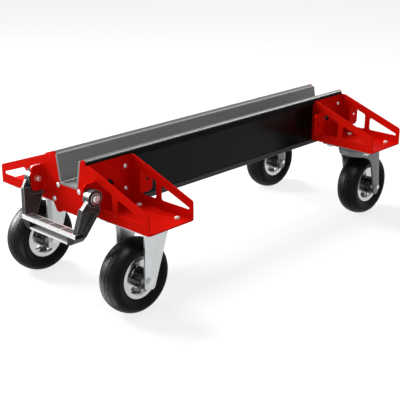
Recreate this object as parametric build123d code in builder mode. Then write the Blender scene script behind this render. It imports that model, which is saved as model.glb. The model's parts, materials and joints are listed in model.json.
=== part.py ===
from build123d import *
import os
from math import radians, sqrt, tan

# Slab transport trolley, in millimetres: +X points to the swivel casters, +Z up, ground at Z = 0.
# The origin is on the ground, under the middle of the overall length and width.

# Ends and sides, as signs along X and Y
FRONT, REAR = -1, 1
LEFT, RIGHT = -1, 1
ENDS = {FRONT: "front", REAR: "rear"}
SIDES = {LEFT: "left", RIGHT: "right"}

# Whole trolley
LENGTH = 1094.0           # over the outer faces of the end plates
WIDTH = 600.0             # over the ends of the wings
SHEET = 4.0               # thickness of every red plate
BRACKET_DEPTH = 153.0     # end plate's outer face to the inner gusset's far face
FIT = 0.2                 # gap round pieces that are slid or bolted together
RUNNING_FIT = 0.05        # radial gap of a bore that turns on a pin
MOVING_GAP = 0.5          # gap between faces that pass each other

# Wheels
WHEEL_R = 100.0
TYRE_HALF = 36.0          # half the width of the tyre
TYRE_SIDE_GAP = 11.0      # tyre to hub end, on each side
SHOULDER_HALF = 27.0      # half the width of the tread
SHOULDER_DROP = 5.0       # fall of the tread from its middle to its shoulders
RIM_SEAT_R = 51.0         # where the tyre sits on the rim
RIM_FLANGE_RISE = 5.6     # rim flange above the seat
RIM_WALL = 3.5
RIM_FLANGE_HALF = 25.5    # outer face of each rim flange from the wheel's middle
RIM_DISC_HALF = 20.0      # outer face of each rim disc from the wheel's middle
RIM_SPOKES = 3
RIM_SPOKE_HALF = 29.0     # half the angle that a spoke takes up, in degrees
RIM_SPOKE_TURN = 190.0    # first spoke's middle from the level, in degrees
RIM_OPENING_BORDER = 2.0  # disc left inside and outside the openings
RIM_OPENING_R = 4.0
HUB_R = 27.0
HUB_CORE_R = 21.0
HUB_RIBS = 10
HUB_RIB_WIDTH = 10.0
HUB_RIB_RECESS = 4.0      # ribs end this far short of the hub's ends
BEARING_R = 16.0
BEARING_WIDTH = 12.0

# Casters
AXLE_R = 4.0              # threaded ends of the axle
AXLE_SLEEVE_R = 10.0      # middle of the axle, inside the bearings
AXLE_STUB = 1.5           # axle end past its nut
AXLE_NUT_FLAT = 13.0
AXLE_NUT_THICK = 6.0
LEG_WALL = 5.0
LEG_GAP = 6.0             # hub end to leg
TRAIL = 34.5              # axle from the middle of the caster's plate, towards the trolley's end
CASTER_Y = 196.0          # wheel's middle from the trolley's middle
PLATE_LONG = 182.0        # caster plate across the trolley
PLATE_SHORT = 142.0       # caster plate along the trolley
PLATE_CORNER_R = 9.0
PLATE_WALL = 5.0
PATTERN_LONG = 140.0      # bolt pattern across the trolley
PATTERN_SHORT = 105.0     # bolt pattern along the trolley
TYRE_TOP_GAP = 12.0       # tyre to crown
CROWN_DEPTH = 16.3        # crown with its turned-down skirt
CROWN_WALL = 5.0
RACE_DEPTH = 10.0
RACE_R = 62.0
KING_PIN_R = 8.0
KING_PIN_HEAD_R = 14.0
KING_PIN_HEAD_THICK = 6.0
LEG_FOOT_DROP = 25.0      # underside of every leg's foot below the axle
LEG_FOOT_R = 8.0          # foot's corner towards the trolley's middle
LEG_FOLD_R = 30.0         # outside of the fold along each leg
LEG_FOLD_INSET = 3.5      # fold line from the axle, towards the trolley's middle
LEG_BOSS_R = 10.0         # flat seat round the axle
RIGID_FOLD = 12.0         # degrees that the edge towards the trolley's end is turned in
RIGID_ROOT_IN = 39.0      # top of a rigid leg from the plate's middle, towards the trolley's middle
RIGID_ROOT_OUT = 44.0     # top of a rigid leg from the plate's middle, towards the trolley's end
RIGID_FOOT_IN = 17.0      # foot of a rigid leg from the axle, towards the trolley's middle
RIGID_FOOT_OUT = 12.7     # foot of a rigid leg from the axle, towards the trolley's end
RIGID_FOOT_R = 11.0       # foot's corner towards the trolley's end
SWIVEL_FOLD = 6.0
SWIVEL_ROOT_IN = 8.0
SWIVEL_ROOT_OUT = 39.0
SWIVEL_FOOT_IN = 10.5
SWIVEL_FOOT_OUT = 20.0
SWIVEL_FOOT_R = 18.0
SWIVEL_FLARE_R = 45.0     # hollow curve between a swivel leg and the crown

# Beam, heights from the wing floors' underside
SLOT_TOP_HALF = 44.0      # half the slot's width at its mouth
SLOT_FLOOR_HALF = 31.0    # half the slot's width at its floor
SLOT_FLOOR_RISE = 61.5
SLOT_DEPTH = 73.0
LINER_WALL = 6.0
LINER_FLOOR_R = 4.0
RIM_BEAD_R = 10.0         # rounded rim along each side of the slot
RIM_BEAD_DROP = 5.0       # bead's middle below the slot's mouth
RIM_BEAD_OVERHANG = 2.0   # bead past the side panel
LINER_LIP = 10.0          # height of the lip that joins wall and bead
PANEL_WALL = 3.0
PANEL_GROOVE_DROP = 5.0   # panel's top edge below the bead's middle
BASE_WALL = 3.0
BASE_DROP = 12.0          # beam's underside below the wing floors
BASE_FLANGE = 15.0
BASE_BEND_R = 3.5
RIB_COUNT = 4
RIB_WALL = 4.0
RIB_TOP_DROP = 12.0       # rib's top below the bead's middle

# Red brackets, heights from the wing floors' underside
SIDE_RISE = 128.0         # top of the side plates and of the wings' inner ends
WING_END_RISE = 52.0      # top corner of a wing's outer end
SHELF = 14.0              # level stretch at a wing's inner end
SHELF_R = 16.0
WING_CORNER_R = 9.0
WING_FOOT_R = 3.0
WINDOW_SILL = 26.5        # lower edge of both windows
WINDOW_BORDER = 23.5      # upright measure from the wing's edge to the windows
WINDOW_WIDTH = 60.0       # inner window
WINDOW_POST = 17.0        # plate between the windows
WINDOW_END_BORDER = 12.0  # plate past the outer window's tip
WINDOW_R = 8.0
WINDOW_TIP_R = 2.4
EAR_HALF = 109.0          # outer face of the ears from the trolley's middle
EAR_REACH = 40.0          # ear past the plate's face
EAR_CORNER_R = 14.0
EAR_FOLD_R = 3.0          # inside of the fold
EAR_HOLE_REACH = 22.0     # hole's middle from the plate's face
EAR_HOLE_R = 5.2
SKIRT_DROP = 25.0         # skirt's feet below the wing floors
SKIRT_ARCH_DROP = 17.0    # middle of the skirt below the wing floors
SKIRT_TOP_HALF = 68.5
SKIRT_FOOT_HALF = 54.5
SKIRT_ARCH_HALF = 27.0
SKIRT_ARCH_RUN = 16.0     # length of the arch's slanted ends
SKIRT_R = 3.0
DIAMOND_REACH = 16.4      # half the diagonal of the side plates' square hole
DIAMOND_RISE = 62.5
LIP_WALL = 3.0            # low lip round three sides of a wing floor
LIP_RISE = 2.6

# Plate bolts
BOLT_R = 4.0
BOLT_HEAD_R = 7.0
BOLT_HEAD_THICK = 4.4
BOLT_LENGTH = 20.0
NUT_FLAT = 13.0
NUT_THICK = 6.5
SIDE_BOLT_SPAN = 109.0    # between the two columns of side plate bolts
SIDE_BOLT_LOW = 37.5
SIDE_BOLT_HIGH = 98.5
END_BOLT_SLOT_GAP = 7.0   # upper end plate bolts out from the notch's corner
END_BOLT_SLOT_DROP = 3.5  # upper end plate bolts below the notch
END_BOLT_LOW = 10.5       # lower end plate bolts, beside the beam's panels
PANEL_NOTCH_RISE = 24.0   # panels cut away at the lower bolts, above the wing floors' underside
PANEL_NOTCH_RUN = 28.0
CASTER_BOLT_R = 5.0
CASTER_BOLT_FLAT = 16.0
CASTER_BOLT_HEAD = 6.4
CASTER_NUT_THICK = 8.0
CASTER_BOLT_STUB = 3.0
NUT_TURN = 30.0           # turns every nut's corner to the side, in degrees

# Stirrup, forward and up from its pivot
TREAD_REACH = 52.0        # front of the tread
ARM_GAP = 1.0             # hub to ear
ARM_HUB_R = 22.5
ARM_HUB_LONG = 21.5
ARM_WALL = 9.5            # upper arm
ARM_LOW_WALL = 14.0       # lower arm
ARM_KNEE_HALF = 126.5     # outer face of the arms at the knees, from the trolley's middle
ARM_FOOT_HALF = 113.0     # outer face of the arms at the tread's top, from the trolley's middle
ARM_NECK = (6.0, 0.0)
ARM_SHOULDER = (22.0, -3.0)
ARM_KNEE = (38.5, -24.0)
ARM_TOE = (51.8, -104.0)
ARM_BACK = (16.0, -105.0)
ARM_HEEL_DROP = 42.0
ARM_HEEL_GAP = 0.4        # heel to end plate at rest
ARM_CORNER_R = 2.5
ARM_POCKET_DEPTH = 4.0
ARM_POCKET_FRONT = ((20.0, -33.0), (34.5, -34.0), (46.0, -87.0), (39.5, -87.0))
ARM_POCKET_BACK = ((11.5, -33.0), (33.0, -86.0), (23.5, -92.0), (-14.0, -43.0))
ARM_POCKET_R = 1.6
EAR_SWEEP_GAP = 3.0       # lower arm to the ear's far corner as it swings
FOOT_DROP = 122.0
FOOT_SHELF_DROP = 100.5   # underside of the tread's deck
FOOT_IN = 78.0            # feet from the trolley's middle: inner end, bend and outer corner
FOOT_BEND = 95.0
FOOT_OUT = 112.5
FOOT_HEEL = 8.0           # foot behind the tread
FOOT_R = 24.0
TREAD_HALF = 111.0
TREAD_DEPTH = 27.0
TREAD_DECK = 11.0
TREAD_WEB = 6.0
TREAD_LIP = 5.0
TREAD_PADS = 4
TREAD_PAD_HALF = 94.0     # half the length of the row of pads
TREAD_PAD_BORDER = 4.0
TREAD_PAD_DEPTH = 1.2
TREAD_PAD_RIB = 3.0
TREAD_PAD_LEAN = 5.0      # ribs between the pads lean by this much over the deck's depth
CAP_R = 17.0
CAP_RING_R = 12.0
CAP_THICK = 2.0
CAP_RING_DEPTH = 1.2
PIVOT_R = 8.0             # shoulder that the arm turns on
PIVOT_THREAD_R = 5.0
PIVOT_HEAD_R = 9.5
PIVOT_HEAD_THICK = 4.5
PIVOT_NUT_FLAT = 16.0
PIVOT_NUT_THICK = 8.0
PIVOT_STUB = 2.0

# Heights that follow from the stack of each caster
LEG_FOOT_Z = WHEEL_R - LEG_FOOT_DROP
CROWN_Z = 2 * WHEEL_R + TYRE_TOP_GAP
CROWN_TOP_Z = CROWN_Z + CROWN_DEPTH
RACE_Z = CROWN_TOP_Z + MOVING_GAP
PLATE_Z = RACE_Z + RACE_DEPTH
DECK_Z = PLATE_Z + PLATE_WALL
FLOOR_Z = DECK_Z + SHEET
SIDE_Z = DECK_Z + SIDE_RISE
WING_END_Z = DECK_Z + WING_END_RISE
SILL_Z = DECK_Z + WINDOW_SILL
SLOT_FLOOR_Z = DECK_Z + SLOT_FLOOR_RISE
SLOT_TOP_Z = SLOT_FLOOR_Z + SLOT_DEPTH
TROUGH_Z = SLOT_FLOOR_Z - LINER_WALL
BEAD_Z = SLOT_TOP_Z - RIM_BEAD_DROP
PANEL_TOP_Z = BEAD_Z - PANEL_GROOVE_DROP
BASE_Z = DECK_Z - BASE_DROP
PANEL_FOOT_Z = BASE_Z + BASE_WALL

# Widths that follow from the slot
BEAD_HALF = SLOT_TOP_HALF + LINER_WALL + RIM_BEAD_R
BEAM_HALF = BEAD_HALF + RIM_BEAD_R - RIM_BEAD_OVERHANG
SIDE_HALF = BEAM_HALF + SHEET
SHOULDER_Y = SIDE_HALF + SHELF
WING_GRADE = (SIDE_Z - WING_END_Z) / (WIDTH / 2 - SHOULDER_Y)

# Places along the trolley
CASTER_INSET = BRACKET_DEPTH / 2
STIRRUP_REACH = EAR_HOLE_REACH + TREAD_REACH
WHEEL_OVERHANG = WHEEL_R - (CASTER_INSET - TRAIL)
MID_X = (STIRRUP_REACH - WHEEL_OVERHANG) / 2

# Widths of the wheel and its fork
HUB_HALF = TYRE_HALF + TYRE_SIDE_GAP
LEG_IN = HUB_HALF + LEG_GAP
LEG_OUT = LEG_IN + LEG_WALL
RIM_FLANGE_R = RIM_SEAT_R + RIM_FLANGE_RISE
TYRE_FOOT_HALF = RIM_FLANGE_HALF - RIM_WALL
BEARING_BORE_R = AXLE_SLEEVE_R + RUNNING_FIT


def end_x(end, inset):
    """X of a place this far in from the outer face of an end plate."""
    return MID_X + end * (LENGTH / 2 - inset)


def across(x):
    """Plane across the trolley at X = x: drawn in Y and Z, facing +X."""
    return Plane(origin=(x, 0, 0), x_dir=(0, 1, 0), z_dir=(1, 0, 0))


def along(y):
    """Plane along the trolley at Y = y: drawn in X and Z, facing -Y."""
    return Plane(origin=(0, y, 0), x_dir=(1, 0, 0), z_dir=(0, -1, 0))


def slot_half(z):
    """Half the slot's width at height z."""
    return SLOT_FLOOR_HALF + (SLOT_TOP_HALF - SLOT_FLOOR_HALF) * (z - SLOT_FLOOR_Z) / SLOT_DEPTH


def wing_edge_z(y):
    """Height of a wing's sloping edge at a distance y from the middle."""
    return WING_END_Z + (WIDTH / 2 - y) * WING_GRADE


EAR_TOP_Z = wing_edge_z(EAR_HALF) - WINDOW_BORDER
EAR_Z = (SILL_Z + EAR_TOP_Z) / 2
PIVOT_X = end_x(FRONT, -EAR_HOLE_REACH)


def write(piece, name):
    """Labels a finished piece and writes it to its file."""
    piece.part.label = name
    export_step(piece.part, f"parts/{name}.step")


def side_bolt_points(end):
    """X and Z of the four bolts of a side plate."""
    middle = end_x(end, CASTER_INSET)
    return [
        (middle + step * SIDE_BOLT_SPAN / 2, DECK_Z + rise)
        for step in (-1, 1)
        for rise in (SIDE_BOLT_LOW, SIDE_BOLT_HIGH)
    ]


def end_bolt_points():
    """Y and Z of the four bolts of an end plate."""
    high = (slot_half(TROUGH_Z) + LINER_WALL + END_BOLT_SLOT_GAP, TROUGH_Z - END_BOLT_SLOT_DROP)
    low = (BEAM_HALF - NUT_FLAT / 2 - FIT, DECK_Z + END_BOLT_LOW)
    return [(side * y, z) for side in SIDES for y, z in (high, low)]


def caster_bolt_points(end, side):
    """X and Y of the four bolts of a caster."""
    return [
        (end_x(end, CASTER_INSET) + i * PATTERN_SHORT / 2, side * CASTER_Y + j * PATTERN_LONG / 2)
        for i in (-1, 1)
        for j in (-1, 1)
    ]


def windows(side):
    """Cuts both windows of one wing out of the sketch in hand."""
    post = EAR_HALF + WINDOW_WIDTH
    tip = WIDTH / 2 - WINDOW_END_BORDER
    for near, far, far_r in ((EAR_HALF, post, WINDOW_R), (post + WINDOW_POST, tip, WINDOW_TIP_R)):
        with BuildLine() as edge:
            FilletPolyline(
                (side * near, SILL_Z),
                (side * far, SILL_Z),
                (side * far, wing_edge_z(far) - WINDOW_BORDER),
                (side * near, wing_edge_z(near) - WINDOW_BORDER),
                radius=[WINDOW_R, far_r, far_r, WINDOW_R],
                close=True,
            )
        make_face(edge.line, mode=Mode.SUBTRACT)


def ear(side, face_x, way):
    """Adds a bent ear to the plate in hand: it stands on face_x and points along X by sign way."""
    with BuildSketch(along(side * EAR_HALF)) as outline:
        with BuildLine():
            FilletPolyline(
                (face_x, SILL_Z),
                (face_x + way * EAR_REACH, SILL_Z),
                (face_x + way * EAR_REACH, EAR_TOP_Z),
                (face_x, EAR_TOP_Z),
                radius=[0, EAR_CORNER_R, EAR_CORNER_R, 0],
                close=True,
            )
        make_face()
        with Locations((face_x + way * EAR_HOLE_REACH, EAR_Z)):
            Circle(EAR_HOLE_R, mode=Mode.SUBTRACT)
    extrude(outline.sketch, amount=side * SHEET)


def round_ear_fold(plate, side, face_x):
    """Rounds the inside of the fold between an ear and its plate."""
    fold = plate.edges().filter_by(Axis.Z)
    fold = fold.filter_by_position(Axis.X, face_x - FIT, face_x + FIT)
    fold = fold.sort_by_distance((face_x, side * (EAR_HALF - SHEET), EAR_Z))[:1]
    fillet(fold, radius=EAR_FOLD_R)


os.makedirs("parts", exist_ok=True)

# Slot liner: tapered trough along the whole trolley, with a rounded rim along each side.
# The rims are grooved for the panels and notched over the side plates and gussets.
with BuildPart() as slot_liner:
    with BuildSketch(across(end_x(FRONT, 0))):
        with BuildLine():
            FilletPolyline(
                (0, TROUGH_Z),
                (slot_half(TROUGH_Z) + LINER_WALL, TROUGH_Z),
                (SLOT_TOP_HALF + LINER_WALL, SLOT_TOP_Z),
                (SLOT_TOP_HALF, SLOT_TOP_Z),
                (SLOT_FLOOR_HALF, SLOT_FLOOR_Z),
                (0, SLOT_FLOOR_Z),
                radius=[LINER_FLOOR_R, 0, 0, LINER_FLOOR_R],
            )
            mirror(about=Plane.YZ)
        make_face()
    extrude(amount=LENGTH)
    for side in SIDES:
        with BuildSketch(across(end_x(FRONT, SHEET))):
            with Locations((side * BEAD_HALF, BEAD_Z)):
                Circle(RIM_BEAD_R)
            with Locations((side * (SLOT_TOP_HALF + LINER_WALL / 2), SLOT_TOP_Z - LINER_LIP / 2)):
                Rectangle(LINER_WALL, LINER_LIP)
            make_hull()
        extrude(amount=LENGTH - 2 * SHEET)
    with BuildSketch(across(end_x(FRONT, SHEET))):
        with Locations(*[(side * (BEAM_HALF - PANEL_WALL / 2), PANEL_TOP_Z + FIT) for side in SIDES]):
            Rectangle(PANEL_WALL + 2 * FIT, 2 * RIM_BEAD_R, align=(Align.CENTER, Align.MAX))
    extrude(amount=LENGTH - 2 * SHEET, mode=Mode.SUBTRACT)
    with BuildSketch(Plane.XY.offset(SIDE_Z + FIT)):
        for end in ENDS:
            for side in SIDES:
                with Locations((end_x(end, BRACKET_DEPTH / 2), side * (BEAM_HALF - FIT + RIM_BEAD_R))):
                    Rectangle(BRACKET_DEPTH + 2 * FIT, 2 * RIM_BEAD_R)
    extrude(amount=-RIM_BEAD_R, mode=Mode.SUBTRACT)
write(slot_liner, "slot_liner")

# Side panels of the beam, standing in the base and held by the grooves under the rims.
# Their lower corners are cut away for the end plates' nuts.
for side, side_name in SIDES.items():
    with BuildPart() as side_panel:
        with BuildSketch(along(side * BEAM_HALF)):
            with Locations((MID_X, PANEL_FOOT_Z)):
                Rectangle(LENGTH - 2 * SHEET, PANEL_TOP_Z - PANEL_FOOT_Z, align=(Align.CENTER, Align.MIN))
            with Locations(*side_bolt_points(FRONT), *side_bolt_points(REAR)):
                Circle(BOLT_R + FIT, mode=Mode.SUBTRACT)
            with Locations((end_x(FRONT, SHEET), PANEL_FOOT_Z), (end_x(REAR, SHEET), PANEL_FOOT_Z)):
                notch_height = DECK_Z + PANEL_NOTCH_RISE - PANEL_FOOT_Z
                Rectangle(2 * PANEL_NOTCH_RUN, 2 * notch_height, mode=Mode.SUBTRACT)
        extrude(amount=side * PANEL_WALL)
    write(side_panel, f"{side_name}_side_panel")

# Base channel of the beam, its flanges cut down where the brackets stand on it
with BuildPart() as beam_base:
    with BuildSketch(across(end_x(FRONT, SHEET))):
        with BuildLine():
            FilletPolyline(
                (0, BASE_Z),
                (BEAM_HALF + BASE_WALL, BASE_Z),
                (BEAM_HALF + BASE_WALL, BASE_Z + BASE_FLANGE),
                (BEAM_HALF, BASE_Z + BASE_FLANGE),
                (BEAM_HALF, PANEL_FOOT_Z),
                (0, PANEL_FOOT_Z),
                radius=[BASE_BEND_R, 0, 0, 0],
            )
            mirror(about=Plane.YZ)
        make_face()
    extrude(amount=LENGTH - 2 * SHEET)
    with BuildSketch(Plane.XY.offset(DECK_Z)):
        for end in ENDS:
            with Locations((end_x(end, BRACKET_DEPTH / 2), 0)):
                Rectangle(BRACKET_DEPTH + 2 * FIT, WIDTH)
    extrude(amount=BASE_FLANGE, mode=Mode.SUBTRACT)
write(beam_base, "beam_base")

# Cross ribs inside the beam: they carry the liner, and the end ones take the end plate bolts
RIB_SPAN = LENGTH - 2 * SHEET - RIB_WALL
with BuildPart() as beam_ribs:
    for place in range(RIB_COUNT):
        with BuildSketch(across(end_x(FRONT, SHEET) + place * RIB_SPAN / (RIB_COUNT - 1))):
            with Locations((0, PANEL_FOOT_Z)):
                Rectangle(
                    2 * (BEAM_HALF - PANEL_WALL),
                    BEAD_Z - RIB_TOP_DROP - PANEL_FOOT_Z,
                    align=(Align.CENTER, Align.MIN),
                )
            with BuildLine():
                Polyline(
                    (0, TROUGH_Z),
                    (slot_half(TROUGH_Z) + LINER_WALL + FIT, TROUGH_Z),
                    (SLOT_TOP_HALF + LINER_WALL + FIT, SLOT_TOP_Z),
                    (0, SLOT_TOP_Z),
                )
                mirror(about=Plane.YZ)
            make_face(mode=Mode.SUBTRACT)
            if place in (0, RIB_COUNT - 1):
                with Locations(*end_bolt_points()):
                    Circle(BOLT_R + FIT, mode=Mode.SUBTRACT)
        extrude(amount=RIB_WALL)
write(beam_ribs, "beam_ribs")

# End plates: one sheet across the full width, with fingers beside the slot, windows, ears and a skirt
FINGER_OUT = BEAD_HALF + RIM_BEAD_R
FINGER_IN = slot_half(BEAD_Z) + LINER_WALL + FIT
for end, end_name in ENDS.items():
    face_x = end_x(end, 0)
    with BuildPart() as end_plate:
        with BuildSketch(across(face_x)):
            with BuildLine():
                Polyline(
                    (0, TROUGH_Z - FIT),
                    (slot_half(TROUGH_Z - FIT) + LINER_WALL + FIT, TROUGH_Z - FIT),
                    (FINGER_IN, BEAD_Z),
                )
                ThreePointArc(
                    (FINGER_IN, BEAD_Z),
                    ((FINGER_IN + FINGER_OUT) / 2, BEAD_Z + (FINGER_OUT - FINGER_IN) / 2),
                    (FINGER_OUT, BEAD_Z),
                )
                FilletPolyline(
                    (FINGER_OUT, BEAD_Z),
                    (FINGER_OUT, SIDE_Z),
                    (SHOULDER_Y, SIDE_Z),
                    (WIDTH / 2, WING_END_Z),
                    (WIDTH / 2, DECK_Z),
                    (SKIRT_TOP_HALF, DECK_Z),
                    (SKIRT_FOOT_HALF, DECK_Z - SKIRT_DROP),
                    (SKIRT_ARCH_HALF + SKIRT_ARCH_RUN, DECK_Z - SKIRT_DROP),
                    (SKIRT_ARCH_HALF, DECK_Z - SKIRT_ARCH_DROP),
                    (0, DECK_Z - SKIRT_ARCH_DROP),
                    radius=[0, SHELF_R, WING_CORNER_R, WING_FOOT_R, SKIRT_R, SKIRT_R, SKIRT_R, SKIRT_R],
                )
                mirror(about=Plane.YZ)
            make_face()
            for side in SIDES:
                windows(side)
            with Locations(*end_bolt_points()):
                Circle(BOLT_R + FIT, mode=Mode.SUBTRACT)
        extrude(amount=-end * SHEET)
        for side in SIDES:
            ear(side, face_x, end)
        for side in SIDES:
            round_ear_fold(end_plate, side, face_x)
    write(end_plate, f"{end_name}_end_plate")

# Corner brackets: side plate on the beam, wing floor and inner gusset
for end, end_name in ENDS.items():
    for side, side_name in SIDES.items():
        middle_x = end_x(end, CASTER_INSET)
        clear_length = BRACKET_DEPTH - 2 * SHEET

        with BuildPart() as side_plate:
            with BuildSketch(along(side * BEAM_HALF)):
                with Locations((middle_x, DECK_Z)):
                    Rectangle(clear_length, SIDE_RISE, align=(Align.CENTER, Align.MIN))
                with Locations((middle_x, DECK_Z + DIAMOND_RISE)):
                    RegularPolygon(DIAMOND_REACH, 4, mode=Mode.SUBTRACT)
                with Locations(*side_bolt_points(end)):
                    Circle(BOLT_R + FIT, mode=Mode.SUBTRACT)
            extrude(amount=-side * SHEET)
        write(side_plate, f"{end_name}_{side_name}_side_plate")

        floor_middle_y = side * (SIDE_HALF + WIDTH / 2) / 2
        floor_width = WIDTH / 2 - SIDE_HALF
        with BuildPart() as wing_floor:
            with BuildSketch(Plane.XY.offset(DECK_Z)):
                with Locations((middle_x, floor_middle_y)):
                    Rectangle(clear_length, floor_width)
            extrude(amount=SHEET + LIP_RISE)
            with BuildSketch(Plane.XY.offset(FLOOR_Z)):
                with Locations((middle_x, floor_middle_y + side * LIP_WALL)):
                    Rectangle(clear_length - 2 * LIP_WALL, floor_width)
            extrude(amount=LIP_RISE, mode=Mode.SUBTRACT)
            with BuildSketch(Plane.XY.offset(DECK_Z)):
                with Locations(*caster_bolt_points(end, side)):
                    Circle(CASTER_BOLT_R + FIT)
            extrude(amount=SHEET, mode=Mode.SUBTRACT)
        write(wing_floor, f"{end_name}_{side_name}_wing_floor")

        far_x = end_x(end, BRACKET_DEPTH)
        with BuildPart() as inner_gusset:
            with BuildSketch(across(far_x)):
                with BuildLine():
                    FilletPolyline(
                        (side * BEAM_HALF, DECK_Z),
                        (side * BEAM_HALF, SIDE_Z),
                        (side * SHOULDER_Y, SIDE_Z),
                        (side * WIDTH / 2, WING_END_Z),
                        (side * WIDTH / 2, DECK_Z),
                        radius=[0, 0, SHELF_R, WING_CORNER_R, WING_FOOT_R],
                        close=True,
                    )
                make_face()
                windows(side)
            extrude(amount=end * SHEET)
            ear(side, far_x, -end)
            round_ear_fold(inner_gusset, side, far_x)
        write(inner_gusset, f"{end_name}_{side_name}_inner_gusset")


def dome_bolt(plane):
    """Adds a domed bolt whose head stands on the plane and whose shank goes into it."""
    crown_r = (BOLT_HEAD_R**2 + BOLT_HEAD_THICK**2) / (2 * BOLT_HEAD_THICK)
    with BuildSketch(Plane(origin=plane.origin, x_dir=plane.x_dir, z_dir=-plane.y_dir)) as half:
        with BuildLine():
            Polyline(
                (0, BOLT_HEAD_THICK),
                (0, -BOLT_LENGTH),
                (BOLT_R, -BOLT_LENGTH),
                (BOLT_R, 0),
                (BOLT_HEAD_R, 0),
            )
            RadiusArc((0, BOLT_HEAD_THICK), (BOLT_HEAD_R, 0), crown_r)
        make_face()
    revolve(half.sketch, axis=Axis(plane.origin, plane.z_dir))


def hex_nut(plane, flat, thick, bore_r):
    """Adds a hex nut that stands on the plane."""
    with BuildSketch(plane) as outline:
        RegularPolygon(flat / 2, 6, major_radius=False, rotation=NUT_TURN)
        Circle(bore_r, mode=Mode.SUBTRACT)
    extrude(outline.sketch, amount=thick)


def plate_bolt_seats(depth_at_ends, depth_at_sides):
    """Planes facing outwards at every plate bolt, this far in from the red plates' outer faces."""
    seats = []
    for end in ENDS:
        for y, z in end_bolt_points():
            x = end_x(end, depth_at_ends)
            seats.append(Plane(origin=(x, y, z), x_dir=(0, 1, 0), z_dir=(end, 0, 0)))
        for side in SIDES:
            for x, z in side_bolt_points(end):
                y = side * (SIDE_HALF - depth_at_sides)
                seats.append(Plane(origin=(x, y, z), x_dir=(1, 0, 0), z_dir=(0, side, 0)))
    return seats


# Domed bolts of the end plates and side plates, with their nuts inside the beam
with BuildPart() as plate_bolts:
    for seat in plate_bolt_seats(0, 0):
        dome_bolt(seat)
write(plate_bolts, "plate_bolts")

with BuildPart() as plate_nuts:
    for seat in plate_bolt_seats(SHEET + RIB_WALL + NUT_THICK, SHEET + PANEL_WALL + NUT_THICK):
        hex_nut(seat, NUT_FLAT, NUT_THICK, BOLT_R)
write(plate_nuts, "plate_nuts")

# Caster bolts: heads on the wing floors, nuts under the caster plates
CASTER_BOLT_PLACES = [
    place for end in ENDS for side in SIDES for place in caster_bolt_points(end, side)
]
with BuildPart() as caster_bolts:
    with BuildSketch(Plane.XY.offset(FLOOR_Z)):
        with Locations(*CASTER_BOLT_PLACES):
            RegularPolygon(CASTER_BOLT_FLAT / 2, 6, major_radius=False)
    extrude(amount=CASTER_BOLT_HEAD)
    with BuildSketch(Plane.XY.offset(FLOOR_Z)):
        with Locations(*CASTER_BOLT_PLACES):
            Circle(CASTER_BOLT_R)
    extrude(amount=-(SHEET + PLATE_WALL + CASTER_NUT_THICK + CASTER_BOLT_STUB))
write(caster_bolts, "caster_bolts")

with BuildPart() as caster_nuts:
    with BuildSketch(Plane.XY.offset(PLATE_Z)):
        with Locations(*CASTER_BOLT_PLACES):
            RegularPolygon(CASTER_BOLT_FLAT / 2, 6, major_radius=False)
        with Locations(*CASTER_BOLT_PLACES):
            Circle(CASTER_BOLT_R, mode=Mode.SUBTRACT)
    extrude(amount=-CASTER_NUT_THICK)
write(caster_nuts, "caster_nuts")


def caster_plate(end, side):
    """Adds the bolted top plate of a caster."""
    with BuildSketch(Plane.XY.offset(PLATE_Z)) as outline:
        with Locations((end_x(end, CASTER_INSET), side * CASTER_Y)):
            RectangleRounded(PLATE_SHORT, PLATE_LONG, PLATE_CORNER_R)
        with Locations(*caster_bolt_points(end, side)):
            Circle(CASTER_BOLT_R + FIT, mode=Mode.SUBTRACT)
    extrude(outline.sketch, amount=PLATE_WALL)


def leg_outline(end, side, points, radii):
    """Sketch of a fork's legs from the side; points run from the plate's middle and from the ground."""
    middle_x = end_x(end, CASTER_INSET)
    with BuildSketch(along(side * CASTER_Y)) as outline:
        with BuildLine():
            FilletPolyline(*[(middle_x + end * run, z) for run, z in points], radius=radii, close=True)
        make_face()
    return outline.sketch


def leg_strips(end, side, fold, near):
    """Draws a fork's two legs from above: straight from near to the fold line, then turned in."""
    middle_x = end_x(end, CASTER_INSET)
    grade = tan(radians(fold))
    fold_run = TRAIL - LEG_FOLD_INSET
    inner_fold_run = fold_run - LEG_WALL * tan(radians(fold / 2))
    reach = PLATE_SHORT / 2
    points = (
        (near, LEG_IN),
        (inner_fold_run, LEG_IN),
        (inner_fold_run + reach, LEG_IN - reach * grade),
        (fold_run + reach, LEG_OUT - reach * grade),
        (fold_run, LEG_OUT),
        (near, LEG_OUT),
    )
    for face in (-1, 1):
        with BuildLine() as edge:
            FilletPolyline(
                *[(middle_x + end * run, side * CASTER_Y + face * y) for run, y in points],
                radius=[0, LEG_FOLD_R - LEG_WALL, 0, 0, LEG_FOLD_R, 0],
                close=True,
            )
        make_face(edge.line)


def axle_seats(end, side):
    """Gives both legs in hand a flat boss round the axle's hole."""
    centre = (end_x(end, CASTER_INSET - TRAIL), WHEEL_R)
    with BuildSketch(along(side * CASTER_Y)) as boss:
        with Locations(centre):
            Circle(LEG_BOSS_R)
    extrude(boss.sketch, amount=LEG_OUT, both=True)
    extrude(boss.sketch, amount=LEG_IN, both=True, mode=Mode.SUBTRACT)
    with BuildSketch(along(side * CASTER_Y)) as bore:
        with Locations(centre):
            Circle(AXLE_R + FIT)
    extrude(bore.sketch, amount=LEG_OUT, both=True, mode=Mode.SUBTRACT)


def wheel_plane(x, y):
    """Half-section plane of a wheel: drawn in width and radius."""
    return Plane(origin=(x, y, WHEEL_R), x_dir=(0, 1, 0), z_dir=(1, 0, 0))


def wheel_axis(x, y):
    """Axle line of a wheel."""
    return Axis((x, y, WHEEL_R), (0, 1, 0))


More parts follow.
